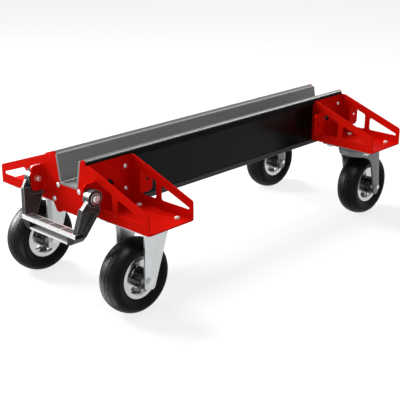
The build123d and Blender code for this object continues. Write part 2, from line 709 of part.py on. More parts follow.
def make_axle(x, y, name):
    """Writes an axle: a stepped shaft with a nut at each end."""
    nut_out = LEG_OUT + AXLE_NUT_THICK
    with BuildPart() as axle:
        with BuildSketch(wheel_plane(x, y)):
            with BuildLine():
                Polyline(
                    (0, 0),
                    (nut_out + AXLE_STUB, 0),
                    (nut_out + AXLE_STUB, AXLE_R),
                    (LEG_IN, AXLE_R),
                    (LEG_IN, AXLE_SLEEVE_R),
                    (0, AXLE_SLEEVE_R),
                )
                mirror(about=Plane.YZ)
            make_face()
        revolve(axis=wheel_axis(x, y))
        for face in (-1, 1):
            seat = Plane(origin=(x, y + face * LEG_OUT, WHEEL_R), x_dir=(1, 0, 0), z_dir=(0, face, 0))
            hex_nut(seat, AXLE_NUT_FLAT, AXLE_NUT_THICK, AXLE_R + RUNNING_FIT)
    write(axle, name)


def make_wheel(x, y, prefix):
    """Writes the four pieces of a wheel: tyre, rim, hub and the pair of bearings."""
    with BuildPart() as tyre:
        belly_r = (WHEEL_R + RIM_FLANGE_R) / 2
        shoulder = (SHOULDER_HALF, WHEEL_R - SHOULDER_DROP)
        with BuildSketch(wheel_plane(x, y)):
            with BuildLine():
                Polyline((0, RIM_SEAT_R), (TYRE_FOOT_HALF, RIM_SEAT_R), (TYRE_FOOT_HALF, RIM_FLANGE_R))
                TangentArc((TYRE_HALF, belly_r), (TYRE_FOOT_HALF, RIM_FLANGE_R), tangent=(0, -1))
                TangentArc((TYRE_HALF, belly_r), shoulder, tangent=(0, 1))
                TangentArc((0, WHEEL_R), shoulder, tangent=(1, 0))
                mirror(about=Plane.YZ)
            make_face()
        revolve(axis=wheel_axis(x, y))
    write(tyre, f"{prefix}_tyre")

    opening_in = HUB_R + RIM_OPENING_BORDER
    opening_out = RIM_SEAT_R - RIM_WALL - RIM_OPENING_BORDER
    spoke_tip = RIM_SEAT_R * tan(radians(RIM_SPOKE_HALF))
    with BuildPart() as rim:
        with BuildSketch(wheel_plane(x, y)):
            with BuildLine():
                Polyline(
                    (0, RIM_SEAT_R),
                    (TYRE_FOOT_HALF, RIM_SEAT_R),
                    (TYRE_FOOT_HALF, RIM_FLANGE_R),
                    (RIM_FLANGE_HALF, RIM_FLANGE_R),
                    (RIM_FLANGE_HALF, RIM_SEAT_R - RIM_WALL),
                    (RIM_DISC_HALF, RIM_SEAT_R - RIM_WALL),
                    (RIM_DISC_HALF, HUB_R),
                    (RIM_DISC_HALF - RIM_WALL, HUB_R),
                    (RIM_DISC_HALF - RIM_WALL, RIM_SEAT_R - RIM_WALL),
                    (0, RIM_SEAT_R - RIM_WALL),
                )
                mirror(about=Plane.YZ)
            make_face()
        revolve(axis=wheel_axis(x, y))
        with BuildSketch(Plane(origin=(x, y, WHEEL_R), x_dir=(1, 0, 0), z_dir=(0, -1, 0))) as openings:
            Circle(opening_out)
            Circle(opening_in, mode=Mode.SUBTRACT)
            with PolarLocations(0, RIM_SPOKES, start_angle=RIM_SPOKE_TURN):
                Polygon(
                    (0, 0),
                    (RIM_SEAT_R, -spoke_tip),
                    (RIM_SEAT_R, spoke_tip),
                    align=None,
                    mode=Mode.SUBTRACT,
                )
            fillet(openings.vertices(), RIM_OPENING_R)
        extrude(amount=RIM_FLANGE_HALF, both=True, mode=Mode.SUBTRACT)
    write(rim, f"{prefix}_rim")

    with BuildPart() as hub:
        with BuildSketch(wheel_plane(x, y)):
            with BuildLine():
                Polyline(
                    (0, BEARING_R),
                    (HUB_HALF, BEARING_R),
                    (HUB_HALF, HUB_CORE_R),
                    (RIM_DISC_HALF, HUB_CORE_R),
                    (RIM_DISC_HALF, HUB_R),
                    (0, HUB_R),
                )
                mirror(about=Plane.YZ)
            make_face()
        revolve(axis=wheel_axis(x, y))
        rib_foot_r = (BEARING_R + HUB_CORE_R) / 2
        with BuildSketch(Plane(origin=(x, y, WHEEL_R), x_dir=(1, 0, 0), z_dir=(0, -1, 0))):
            with PolarLocations(rib_foot_r, HUB_RIBS):
                Rectangle(HUB_R - rib_foot_r, HUB_RIB_WIDTH, align=(Align.MIN, Align.CENTER))
            Circle(HUB_R - FIT, mode=Mode.INTERSECT)
        extrude(amount=HUB_HALF - HUB_RIB_RECESS, both=True)
    write(hub, f"{prefix}_hub")

    with BuildPart() as bearings:
        with BuildSketch(wheel_plane(x, y)):
            for face in (-1, 1):
                with Locations((face * (HUB_HALF - BEARING_WIDTH / 2), (BEARING_BORE_R + BEARING_R) / 2)):
                    Rectangle(BEARING_WIDTH, BEARING_R - BEARING_BORE_R)
        revolve(axis=wheel_axis(x, y))
    write(bearings, f"{prefix}_bearings")


# Casters: rigid forks in front, swivel forks at the rear
RIGID_LEG = (
    (-RIGID_ROOT_IN, PLATE_Z),
    (TRAIL - RIGID_FOOT_IN, LEG_FOOT_Z),
    (TRAIL + RIGID_FOOT_OUT, LEG_FOOT_Z),
    (RIGID_ROOT_OUT, PLATE_Z),
)
SWIVEL_LEG = (
    (-LEG_OUT, CROWN_TOP_Z),
    (-LEG_OUT, CROWN_Z),
    (-SWIVEL_ROOT_IN, CROWN_Z),
    (TRAIL - SWIVEL_FOOT_IN, LEG_FOOT_Z),
    (TRAIL + SWIVEL_FOOT_OUT, LEG_FOOT_Z),
    (SWIVEL_ROOT_OUT, CROWN_TOP_Z),
)
for side, side_name in SIDES.items():
    axle_x = end_x(FRONT, CASTER_INSET - TRAIL)
    with BuildPart() as rigid_fork:
        legs = leg_outline(FRONT, side, RIGID_LEG, [0, LEG_FOOT_R, RIGID_FOOT_R, 0])
        extrude(legs, amount=LEG_OUT, both=True)
        with BuildSketch(Plane.XY):
            leg_strips(FRONT, side, RIGID_FOLD, -PLATE_SHORT / 2)
        extrude(amount=PLATE_Z, mode=Mode.INTERSECT)
        axle_seats(FRONT, side)
        caster_plate(FRONT, side)
    write(rigid_fork, f"front_{side_name}_fork")
    make_axle(axle_x, side * CASTER_Y, f"front_{side_name}_axle")
    make_wheel(axle_x, side * CASTER_Y, f"front_{side_name}")

for side, side_name in SIDES.items():
    pin_x = end_x(REAR, CASTER_INSET)
    axle_x = end_x(REAR, CASTER_INSET - TRAIL)
    with BuildPart() as top_plate:
        caster_plate(REAR, side)
        with BuildSketch(Plane.XY.offset(PLATE_Z)):
            with Locations((pin_x, side * CASTER_Y)):
                Circle(KING_PIN_R)
        extrude(amount=PLATE_WALL, mode=Mode.SUBTRACT)
    write(top_plate, f"rear_{side_name}_top_plate")

    with BuildPart() as race:
        with BuildSketch(Plane.XY.offset(PLATE_Z)):
            with Locations((pin_x, side * CASTER_Y)):
                Circle(RACE_R)
                Circle(KING_PIN_R, mode=Mode.SUBTRACT)
        extrude(amount=-RACE_DEPTH)
    write(race, f"rear_{side_name}_race")

    with BuildPart() as king_pin:
        with BuildSketch(Plane.XY.offset(DECK_Z)):
            with Locations((pin_x, side * CASTER_Y)):
                Circle(KING_PIN_R)
        pin_length = PLATE_WALL + RACE_DEPTH + MOVING_GAP + CROWN_WALL + MOVING_GAP
        extrude(amount=-(pin_length + KING_PIN_HEAD_THICK))
        with BuildSketch(Plane.XY.offset(DECK_Z - pin_length)):
            with Locations((pin_x, side * CASTER_Y)):
                RegularPolygon(KING_PIN_HEAD_R, 6)
        extrude(amount=-KING_PIN_HEAD_THICK)
    write(king_pin, f"rear_{side_name}_king_pin")

    with BuildPart() as swivel_fork:
        legs = leg_outline(
            REAR, side, SWIVEL_LEG, [0, 0, SWIVEL_FLARE_R, LEG_FOOT_R, SWIVEL_FOOT_R, 0]
        )
        extrude(legs, amount=LEG_OUT, both=True)
        with BuildSketch(Plane.XY):
            with Locations((pin_x, side * CASTER_Y)):
                Circle(LEG_OUT)
                Circle(LEG_IN, mode=Mode.SUBTRACT)
                Rectangle(LEG_OUT, 2 * LEG_OUT, align=(Align.MIN, Align.CENTER), mode=Mode.SUBTRACT)
            leg_strips(REAR, side, SWIVEL_FOLD, 0)
        extrude(amount=CROWN_TOP_Z, mode=Mode.INTERSECT)
        axle_seats(REAR, side)
        with BuildSketch(Plane.XY.offset(CROWN_TOP_Z - CROWN_WALL)):
            with Locations((pin_x, side * CASTER_Y)):
                Circle(LEG_OUT)
                Rectangle(SWIVEL_ROOT_OUT, 2 * LEG_OUT, align=(Align.MIN, Align.CENTER))
                Circle(KING_PIN_R + RUNNING_FIT, mode=Mode.SUBTRACT)
        extrude(amount=CROWN_WALL)
    write(swivel_fork, f"rear_{side_name}_fork")
    make_axle(axle_x, side * CASTER_Y, f"rear_{side_name}_axle")
    make_wheel(axle_x, side * CASTER_Y, f"rear_{side_name}")

# Stirrup: two arms that turn on shoulder bolts in the front ears, and a tread under them.
# The arms lean towards each other, so they are drawn on their outer faces, up from the knees.
ARM_IN = EAR_HALF + ARM_GAP
ARM_OUT = ARM_IN + ARM_HUB_LONG
ARM_HEEL = (ARM_HEEL_GAP - EAR_HOLE_REACH, -ARM_HEEL_DROP)
EAR_SWEEP_R = sqrt(EAR_HOLE_REACH**2 + (EAR_TOP_Z - EAR_Z) ** 2) + EAR_SWEEP_GAP
TREAD_FRONT_X = PIVOT_X - TREAD_REACH
TREAD_BACK_X = TREAD_FRONT_X + TREAD_DEPTH
TREAD_FOOT_Z = EAR_Z - FOOT_SHELF_DROP
TREAD_TOP_Z = TREAD_FOOT_Z + TREAD_DECK
KNEE_Z = EAR_Z + ARM_KNEE[1]
ARM_LEAN = (ARM_KNEE_HALF - ARM_FOOT_HALF) / (KNEE_Z - TREAD_TOP_Z)
ARM_STRETCH = sqrt(1 + ARM_LEAN**2)


def at_pivot(point):
    """X and Z of a point given forward and up from the stirrup's pivot."""
    return (PIVOT_X - point[0], EAR_Z + point[1])


def leaning(side):
    """Plane of an arm's outer face: drawn in X and up along the face from the knee."""
    return Plane(
        origin=(0, side * ARM_KNEE_HALF, KNEE_Z), x_dir=(1, 0, 0), z_dir=(0, -1, side * ARM_LEAN)
    )


def on_arm(point):
    """Place on an arm's outer face of a point given forward and up from the pivot."""
    return (PIVOT_X - point[0], (point[1] - ARM_KNEE[1]) * ARM_STRETCH)


def arm_outline():
    """Draws an arm from its neck at the hub down to the toe."""
    with BuildLine() as edge:
        FilletPolyline(
            *[on_arm(point) for point in (
                ARM_NECK, ARM_SHOULDER, ARM_KNEE, ARM_TOE, ARM_BACK, ARM_HEEL, (-ARM_HUB_R / 2, 0),
            )],
            radius=[0, 0, ARM_CORNER_R, ARM_CORNER_R, ARM_CORNER_R, ARM_CORNER_R, 0],
            close=True,
        )
    make_face(edge.line)


for side, side_name in SIDES.items():
    with BuildPart() as stirrup_arm:
        with BuildSketch(leaning(side)):
            arm_outline()
        extrude(amount=side * ARM_WALL)
        with BuildSketch(leaning(side)):
            arm_outline()
            with Locations((PIVOT_X, 0)):
                Rectangle(4 * ARM_HUB_R, 2 * ARM_HUB_R, align=(Align.CENTER, Align.MIN), mode=Mode.SUBTRACT)
        extrude(amount=side * ARM_LOW_WALL)
        with BuildSketch(along(side * ARM_IN)):
            with Locations(at_pivot((0, 0))):
                Circle(EAR_SWEEP_R)
        extrude(amount=side * ARM_LOW_WALL, mode=Mode.SUBTRACT)
        with BuildSketch(along(side * ARM_IN)):
            with Locations(at_pivot((0, 0))):
                Circle(ARM_HUB_R)
        extrude(amount=-side * ARM_HUB_LONG)
        with BuildSketch(leaning(side)):
            for pocket in (ARM_POCKET_FRONT, ARM_POCKET_BACK):
                with BuildLine():
                    FilletPolyline(*[on_arm(point) for point in pocket], radius=ARM_POCKET_R, close=True)
                make_face()
        extrude(amount=side * ARM_POCKET_DEPTH, mode=Mode.SUBTRACT)
        with BuildSketch(across(TREAD_FRONT_X)):
            with BuildLine():
                FilletPolyline(
                    (side * FOOT_IN, EAR_Z - FOOT_DROP),
                    (side * FOOT_BEND, EAR_Z - FOOT_DROP),
                    (side * FOOT_OUT, TREAD_FOOT_Z),
                    (side * FOOT_IN, TREAD_FOOT_Z),
                    radius=[0, FOOT_R, 0, 0],
                    close=True,
                )
            make_face()
        extrude(amount=TREAD_DEPTH + FOOT_HEEL)
        with BuildSketch(along(0)):
            with Locations((TREAD_FRONT_X, TREAD_TOP_Z)):
                Rectangle(TREAD_DEPTH, TREAD_DECK, align=(Align.MIN, Align.MAX))
        extrude(amount=ARM_OUT, both=True, mode=Mode.SUBTRACT)
        with BuildSketch(along(side * ARM_IN)):
            with Locations(at_pivot((0, 0))):
                Circle(PIVOT_R + RUNNING_FIT)
        extrude(amount=-side * ARM_HUB_LONG, mode=Mode.SUBTRACT)
    write(stirrup_arm, f"stirrup_{side_name}_arm")

# Tread: a deck with grip pads over a web and a lower lip
with BuildPart() as stirrup_tread:
    with BuildSketch(along(0)):
        with Locations((TREAD_FRONT_X, TREAD_TOP_Z)):
            Rectangle(TREAD_DEPTH, TREAD_DECK, align=(Align.MIN, Align.MAX))
    extrude(amount=TREAD_HALF, both=True)
    with BuildSketch(along(0)):
        with BuildLine():
            Polyline(
                (TREAD_BACK_X, TREAD_FOOT_Z),
                (TREAD_BACK_X - TREAD_WEB, TREAD_FOOT_Z),
                (TREAD_BACK_X - TREAD_WEB, EAR_Z - FOOT_DROP + TREAD_LIP),
                (TREAD_FRONT_X, EAR_Z - FOOT_DROP + TREAD_LIP),
                (TREAD_FRONT_X, EAR_Z - FOOT_DROP),
                (TREAD_BACK_X, EAR_Z - FOOT_DROP),
                close=True,
            )
        make_face()
    extrude(amount=FOOT_IN, both=True)
    pad_pitch = 2 * TREAD_PAD_HALF / TREAD_PADS
    pad_half = (pad_pitch - TREAD_PAD_RIB) / 2
    with BuildSketch(Plane.XY.offset(TREAD_TOP_Z)):
        for place in range(TREAD_PADS):
            pad_y = (place - (TREAD_PADS - 1) / 2) * pad_pitch
            with BuildLine():
                Polyline(
                    (TREAD_FRONT_X + TREAD_PAD_BORDER, pad_y - pad_half + TREAD_PAD_LEAN / 2),
                    (TREAD_BACK_X - TREAD_PAD_BORDER, pad_y - pad_half - TREAD_PAD_LEAN / 2),
                    (TREAD_BACK_X - TREAD_PAD_BORDER, pad_y + pad_half - TREAD_PAD_LEAN / 2),
                    (TREAD_FRONT_X + TREAD_PAD_BORDER, pad_y + pad_half + TREAD_PAD_LEAN / 2),
                    close=True,
                )
            make_face()
    extrude(amount=-TREAD_PAD_DEPTH, mode=Mode.SUBTRACT)
write(stirrup_tread, "stirrup_tread")

# Hub caps on the arms, with one sunk ring each
CAP_OUT = ARM_OUT + CAP_THICK
with BuildPart() as hub_caps:
    for side in SIDES:
        with BuildSketch(along(side * ARM_OUT)):
            with Locations(at_pivot((0, 0))):
                Circle(CAP_R)
                Circle(PIVOT_R + FIT, mode=Mode.SUBTRACT)
        extrude(amount=-side * CAP_THICK)
    for side in SIDES:
        with BuildSketch(along(side * CAP_OUT)):
            with Locations(at_pivot((0, 0))):
                Circle((CAP_R + CAP_RING_R) / 2)
                Circle(CAP_RING_R, mode=Mode.SUBTRACT)
        extrude(amount=side * CAP_RING_DEPTH, mode=Mode.SUBTRACT)
write(hub_caps, "stirrup_hub_caps")

# Shoulder bolts: the shoulder stands on the ear, the thread goes through it into a nut
PIVOT_SHOULDER = CAP_OUT + MOVING_GAP - EAR_HALF
with BuildPart() as pivot_bolts:
    for side in SIDES:
        pivot = (PIVOT_X, side * EAR_HALF, EAR_Z)
        with BuildSketch(Plane(origin=pivot, x_dir=(0, side, 0), z_dir=(1, 0, 0))):
            with BuildLine():
                Polyline(
                    (-(SHEET + PIVOT_NUT_THICK + PIVOT_STUB), 0),
                    (PIVOT_SHOULDER + PIVOT_HEAD_THICK, 0),
                    (PIVOT_SHOULDER + PIVOT_HEAD_THICK, PIVOT_HEAD_R),
                    (PIVOT_SHOULDER, PIVOT_HEAD_R),
                    (PIVOT_SHOULDER, PIVOT_R),
                    (0, PIVOT_R),
                    (0, PIVOT_THREAD_R),
                    (-(SHEET + PIVOT_NUT_THICK + PIVOT_STUB), PIVOT_THREAD_R),
                    close=True,
                )
            make_face()
        revolve(axis=Axis(pivot, (0, 1, 0)))
write(pivot_bolts, "stirrup_pivot_bolts")

with BuildPart() as pivot_nuts:
    for side in SIDES:
        inner_face = (PIVOT_X, side * (EAR_HALF - SHEET), EAR_Z)
        hex_nut(
            Plane(origin=inner_face, x_dir=(1, 0, 0), z_dir=(0, -side, 0)),
            PIVOT_NUT_FLAT, PIVOT_NUT_THICK, PIVOT_THREAD_R,
        )
write(pivot_nuts, "stirrup_pivot_nuts")
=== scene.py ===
"""Slab transport trolley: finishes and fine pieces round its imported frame, for a plain studio view."""
from __future__ import annotations

import json
import logging
import math
from dataclasses import dataclass
from enum import Enum
from typing import Sequence

import bmesh
import bpy
from mathutils import Matrix, Vector

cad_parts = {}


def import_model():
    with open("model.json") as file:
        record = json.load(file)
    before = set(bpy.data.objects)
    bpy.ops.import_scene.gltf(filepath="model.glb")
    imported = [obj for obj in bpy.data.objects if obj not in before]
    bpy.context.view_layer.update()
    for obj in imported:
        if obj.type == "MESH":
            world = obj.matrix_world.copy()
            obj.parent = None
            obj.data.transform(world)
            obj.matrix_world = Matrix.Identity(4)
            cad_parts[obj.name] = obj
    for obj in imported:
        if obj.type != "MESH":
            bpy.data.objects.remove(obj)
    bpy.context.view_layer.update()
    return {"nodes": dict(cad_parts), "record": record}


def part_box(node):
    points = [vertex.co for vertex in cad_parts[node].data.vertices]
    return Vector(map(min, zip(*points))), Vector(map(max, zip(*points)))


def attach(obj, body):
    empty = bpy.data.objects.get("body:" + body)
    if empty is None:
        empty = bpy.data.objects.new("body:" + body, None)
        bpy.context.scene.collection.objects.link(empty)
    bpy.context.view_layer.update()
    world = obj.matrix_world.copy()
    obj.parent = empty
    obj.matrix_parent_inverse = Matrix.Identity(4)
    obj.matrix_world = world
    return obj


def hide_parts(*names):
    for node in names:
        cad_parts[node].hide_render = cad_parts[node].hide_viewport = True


LOG = logging.getLogger("trolley")
MM = 0.001
GROOVE_MARK = "groove"
PATTERN_LOW, PATTERN_HIGH = 0.3, 0.7  # stretch of a noise pattern that carries nearly all of its values
EDGE_START, EDGE_FULL = 0.985, 0.85  # match of rounded and flat normals where an edge mask starts and is full
EDGE_SAMPLES, HOLLOW_SAMPLES = 4, 8
MERGE_REACH = 0.001  # points closer than this, in millimetres, are one point
TOUCH = 0.1  # points closer to a face than this, in millimetres, lie on it
BOLT_SHARP = 40.0  # bolt edges bent by more degrees than this stay crisp
Colour = tuple[float, float, float]
Point = tuple[float, float, float]
Outline = Sequence[tuple[float, float]]


class Slot(Enum):
    """Names of some material slots of the record."""

    BLACK_PANEL = "black_panel"
    BRIGHT_STEEL = "bright_steel"
    TYRE = "tyre"
    BRIGHT_RIM = "bright_rim"
    BLACK_PLASTIC = "black_plastic"
    ALLOY = "alloy"


class End(Enum):
    """Ends of the trolley, with the sign of X there."""

    FRONT = -1
    REAR = 1


class Side(Enum):
    """Sides of the trolley, with the sign of Y there."""

    LEFT = -1
    RIGHT = 1


class Wiring:
    """Node tree of one finish: its shader, Object coordinates and the patterns that feed them."""

    def __init__(self, name: str) -> None:
        """Starts a material.

        Args:
            name: The material's name.
        """
        self.material = bpy.data.materials.new(name)
        self.material.use_nodes = True
        self.tree = self.material.node_tree
        self.shader = self.tree.nodes["Principled BSDF"]
        self.place = self.tree.nodes.new("ShaderNodeTexCoord").outputs["Object"]

    def set(self, **values: float | tuple[float, ...]) -> None:
        """Sets the shader's own sockets, named with underscores for spaces."""
        for name, value in values.items():
            self.shader.inputs[name.replace("_", " ")].default_value = value

    def feed(self, socket: bpy.types.NodeSocket, target: str) -> None:
        """Links a socket to one of the shader's inputs."""
        self.tree.links.new(socket, self.shader.inputs[target])

    def stretched(self, stretch: Sequence[float]) -> bpy.types.NodeSocket:
        """Object coordinates scaled along each axis.

        Args:
            stretch: Scale along X, Y and Z.

        Returns:
            The scaled vector's socket.
        """
        mapping = self.tree.nodes.new("ShaderNodeMapping")
        mapping.inputs["Scale"].default_value = stretch
        self.tree.links.new(self.place, mapping.inputs["Vector"])
        return mapping.outputs["Vector"]

    def noise(
        self, scale: float, detail: float = 3.0, stretch: Sequence[float] = (1, 1, 1)
    ) -> bpy.types.NodeSocket:
        """Noise over the piece.

        Args:
            scale: Number of features in a metre.
            detail: Octaves of the noise.
            stretch: Scale along each axis, for brushed or drawn marks.

        Returns:
            The noise value's socket.
        """
        node = self.tree.nodes.new("ShaderNodeTexNoise")
        node.inputs["Scale"].default_value = scale
        node.inputs["Detail"].default_value = detail
        self.tree.links.new(self.stretched(stretch), node.inputs["Vector"])
        return node.outputs["Fac"]

    def cells(self, scale: float) -> bpy.types.NodeSocket:
        """Voronoi cells over the piece.

        Args:
            scale: Number of cells in a metre.

        Returns:
            Socket of the distance to a cell's middle.
        """
        node = self.tree.nodes.new("ShaderNodeTexVoronoi")
        node.inputs["Scale"].default_value = scale
        self.tree.links.new(self.place, node.inputs["Vector"])
        return node.outputs["Distance"]

    def ranged(self, socket: bpy.types.NodeSocket, low: float, high: float) -> bpy.types.NodeSocket:
        """Spreads a pattern's middle stretch over a range of values.

        Args:
            socket: The pattern.
            low: Value at the pattern's low end.
            high: Value at the pattern's high end.

        Returns:
            The spread value's socket.
        """
        return self.mapped(socket, (PATTERN_LOW, PATTERN_HIGH), (low, high))

    def mapped(
        self, socket: bpy.types.NodeSocket, source: tuple[float, float], target: tuple[float, float]
    ) -> bpy.types.NodeSocket:
        """Carries values from one range to another and clips them there.

        Args:
            socket: The values.
            source: Values that become the target's two ends.
            target: The two ends.

        Returns:
            The carried value's socket.
        """
        node = self.tree.nodes.new("ShaderNodeMapRange")
        for name, value in zip(("From Min", "From Max", "To Min", "To Max"), (*source, *target)):
            node.inputs[name].default_value = value
        self.tree.links.new(socket, node.inputs["Value"])
        return node.outputs["Result"]

    def shade(self, socket: bpy.types.NodeSocket, first: Colour, second: Colour) -> bpy.types.NodeSocket:
        """Runs from one colour to another with a pattern.

        Args:
            socket: The pattern.
            first: Colour at its low end.
            second: Colour at its high end.

        Returns:
            The colour's socket.
        """
        ramp = self.tree.nodes.new("ShaderNodeValToRGB")
        low, high = ramp.color_ramp.elements
        low.position, high.position = PATTERN_LOW, PATTERN_HIGH
        low.color, high.color = (*first, 1.0), (*second, 1.0)
        self.tree.links.new(socket, ramp.inputs["Fac"])
        return ramp.outputs["Color"]

    def clouded(self, socket: bpy.types.NodeSocket, colour: Colour, share: float) -> bpy.types.NodeSocket:
        """A colour that goes a share darker and lighter with a pattern."""
        return self.shade(socket, shaded(colour, 1 - share), shaded(colour, 1 + share))

    def past(self, axis: str, limit: float) -> bpy.types.NodeSocket:
        """Mask that is 1 past a distance from the trolley's origin, on both sides of it.

        Args:
            axis: X, Y or Z.
            limit: The distance along it, in millimetres.

        Returns:
            The mask's socket.
        """
        axes = self.tree.nodes.new("ShaderNodeSeparateXYZ")
        self.tree.links.new(self.place, axes.inputs["Vector"])
        size = self.tree.nodes.new("ShaderNodeMath")
        size.operation = "ABSOLUTE"
        self.tree.links.new(axes.outputs[axis], size.inputs[0])
        mask = self.tree.nodes.new("ShaderNodeMath")
        mask.operation = "GREATER_THAN"
        mask.inputs[1].default_value = limit * MM
        self.tree.links.new(size.outputs["Value"], mask.inputs[0])
        return mask.outputs["Value"]

    def marked(self, attribute: str) -> bpy.types.NodeSocket:
        """Value of one of the piece's own attributes."""
        node = self.tree.nodes.new("ShaderNodeAttribute")
        node.attribute_name = attribute
        return node.outputs["Fac"]

    def larger(self, first: bpy.types.NodeSocket, second: bpy.types.NodeSocket) -> bpy.types.NodeSocket:
        """The larger of two values."""
        node = self.tree.nodes.new("ShaderNodeMath")
        node.operation = "MAXIMUM"
        for place, socket in enumerate((first, second)):
            self.tree.links.new(socket, node.inputs[place])
        return node.outputs["Value"]

    def opened(self, reach: float) -> bpy.types.NodeSocket:
        """Mask that is 1 on open faces and falls to 0 in hollows.

        Args:
            reach: How far away a wall makes a hollow, in millimetres.

        Returns:
            The mask's socket.
        """
        # Ambient occlusion: the finishes paint shade into hollows with this mask.
        node = self.tree.nodes.new("ShaderNodeAmbientOcclusion")
        node.samples = HOLLOW_SAMPLES
        node.inputs["Distance"].default_value = reach * MM
        return self.ranged(node.outputs["AO"], 0.0, 1.0)

    def choose(
        self, mask: bpy.types.NodeSocket, first: bpy.types.NodeSocket, second: bpy.types.NodeSocket
    ) -> bpy.types.NodeSocket:
        """Mixes two colours by a mask.

        Args:
            mask: Share of the second colour.
            first: Colour where the mask is 0.
            second: Colour where the mask is 1.

        Returns:
            The mixed colour's socket.
        """
        mix = self.tree.nodes.new("ShaderNodeMix")
        mix.data_type = "RGBA"
        for socket, place in ((mask, 0), (first, 6), (second, 7)):
            self.tree.links.new(socket, mix.inputs[place])
        return mix.outputs[2]

    def edges(self, reach: float) -> bpy.types.NodeSocket:
        """Mask that is 1 along the piece's edges.

        Args:
            reach: How far from an edge it goes, in millimetres.

        Returns:
            The mask's socket.
        """
        rounded = self.tree.nodes.new("ShaderNodeBevel")
        rounded.samples = EDGE_SAMPLES
        rounded.inputs["Radius"].default_value = reach * MM
        flat = self.tree.nodes.new("ShaderNodeNewGeometry")
        match = self.tree.nodes.new("ShaderNodeVectorMath")
        match.operation = "DOT_PRODUCT"
        self.tree.links.new(rounded.outputs["Normal"], match.inputs[0])
        self.tree.links.new(flat.outputs["Normal"], match.inputs[1])
        return self.mapped(match.outputs["Value"], (EDGE_START, EDGE_FULL), (0.0, 1.0))

    def bump(self, socket: bpy.types.NodeSocket, strength: float, depth: float) -> None:
        """Raises the surface with a pattern.

        Args:
            socket: The pattern.
            strength: Share of the depth that shows.
            depth: Height of the pattern, in millimetres.
        """
        node = self.tree.nodes.new("ShaderNodeBump")
        node.inputs["Strength"].default_value = strength
        node.inputs["Distance"].default_value = depth * MM
        self.tree.links.new(socket, node.inputs["Height"])
        self.feed(node.outputs["Normal"], "Normal")


def shaded(colour: Colour, share: float) -> Colour:
    """A colour made darker or lighter by a share of itself."""
    return tuple(channel * share for channel in colour)


@dataclass(frozen=True)
class Paint:
    """Sprayed paint: slight cloudiness, orange peel, a soft gloss and a share of metal flake."""

    name: str
    colour: Colour
    roughness: float
    gloss: float
    flake: float = 0.0
    flake_edge: Colour = (1.0, 1.0, 1.0)
    cloud: float = 0.06
    cloud_scale: float = 7.0
    patch: float = 0.05
    patch_scale: float = 45.0
    peel: float = 0.05
    peel_scale: float = 650.0
    peel_depth: float = 0.15

    def material(self) -> bpy.types.Material:
        """Wires the paint and returns it."""
        wiring = Wiring(self.name)
        wiring.feed(wiring.clouded(wiring.noise(self.cloud_scale), self.colour, self.cloud), "Base Color")
        patches = wiring.noise(self.patch_scale, detail=5.0)
        wiring.feed(wiring.ranged(patches, self.roughness - self.patch, self.roughness + self.patch), "Roughness")
        wiring.bump(wiring.noise(self.peel_scale, detail=2.0), self.peel, self.peel_depth)
        wiring.set(Specular_IOR_Level=self.gloss, Metallic=self.flake, Specular_Tint=(*self.flake_edge, 1.0))
        return wiring.material


@dataclass(frozen=True)
class Plating:
    """Plated or bare metal: faint crystals, drawn marks, patchy gloss, and painted shade that can darken its
    hollows.
    """

    name: str
    colour: Colour
    roughness: float
    spangle: float = 0.03
    metal: float = 1.0
    drawn: tuple[float, float, float] = (1, 1, 1)
    marks: float = 0.05
    hollow_reach: float = 0.0
    hollow_share: float = 0.2
    spangle_scale: float = 140.0
    patch: float = 0.2
    patch_scale: float = 60.0
    mark_scale: float = 420.0
    mark_depth: float = 0.1

    def base(self, wiring: Wiring) -> bpy.types.NodeSocket:
        """The colour's socket, with painted shade darkening the hollows."""
        crystals = wiring.cells(self.spangle_scale)
        base = wiring.clouded(crystals, self.colour, self.spangle)
        # Painted shade: the colour darkens where nearby faces would shade it.
        if self.hollow_reach:
            hollow = wiring.clouded(crystals, shaded(self.colour, self.hollow_share), self.spangle)
            base = wiring.choose(wiring.opened(self.hollow_reach), hollow, base)
        return base

    def material(self) -> bpy.types.Material:
        """Wires the metal and returns it."""
        wiring = Wiring(self.name)
        wiring.feed(self.base(wiring), "Base Color")
        patches = wiring.noise(self.patch_scale, detail=4.0, stretch=self.drawn)
        rough = wiring.ranged(patches, self.roughness * (1 - self.patch), self.roughness * (1 + self.patch))
        wiring.feed(rough, "Roughness")
        wiring.bump(wiring.noise(self.mark_scale, stretch=self.drawn), self.marks, self.mark_depth)
        wiring.set(Metallic=self.metal)
        return wiring.material


@dataclass(frozen=True)
class CappedAlloy(Plating):
    """Drawn alloy of the stirrup's tread, whose two cut ends are black."""

    cap: Colour = (0.012, 0.012, 0.012)
    cap_from: float = 110.6
    cap_scale: float = 24.0
    cap_cloud: float = 0.2

    def base(self, wiring: Wiring) -> bpy.types.NodeSocket:
        """The colour's socket, black at the ends."""
        ends = wiring.clouded(wiring.noise(self.cap_scale), self.cap, self.cap_cloud)
        return wiring.choose(wiring.past("Y", self.cap_from), super().base(wiring), ends)


@dataclass(frozen=True)
class Moulding:
    """Moulded plastic or rubber: fine grain, dull dust and a soft gloss."""

    name: str
    colour: Colour
    dust: Colour
    roughness: float
    grain: float = 900.0
    grain_share: float = 0.12
    gloss: float = 0.5
    grain_depth: float = 0.12
    dust_scale: float = 24.0
    patch: float = 0.06
    patch_scale: float = 38.0

    def base(self, wiring: Wiring) -> bpy.types.NodeSocket:
        """The dusty colour's socket."""
        return wiring.shade(wiring.noise(self.dust_scale, detail=6.0), self.colour, self.dust)

    def dullness(self, wiring: Wiring) -> bpy.types.NodeSocket:
        """The patchy roughness's socket."""
        patches = wiring.noise(self.patch_scale, detail=4.0)
        return wiring.ranged(patches, self.roughness - self.patch, self.roughness + self.patch)

    def material(self) -> bpy.types.Material:
        """Wires the moulding and returns it."""
        wiring = Wiring(self.name)
        wiring.feed(self.base(wiring), "Base Color")
        wiring.feed(self.dullness(wiring), "Roughness")
        wiring.bump(wiring.cells(self.grain), self.grain_share, self.grain_depth)
        wiring.set(Specular_IOR_Level=self.gloss)
        return wiring.material


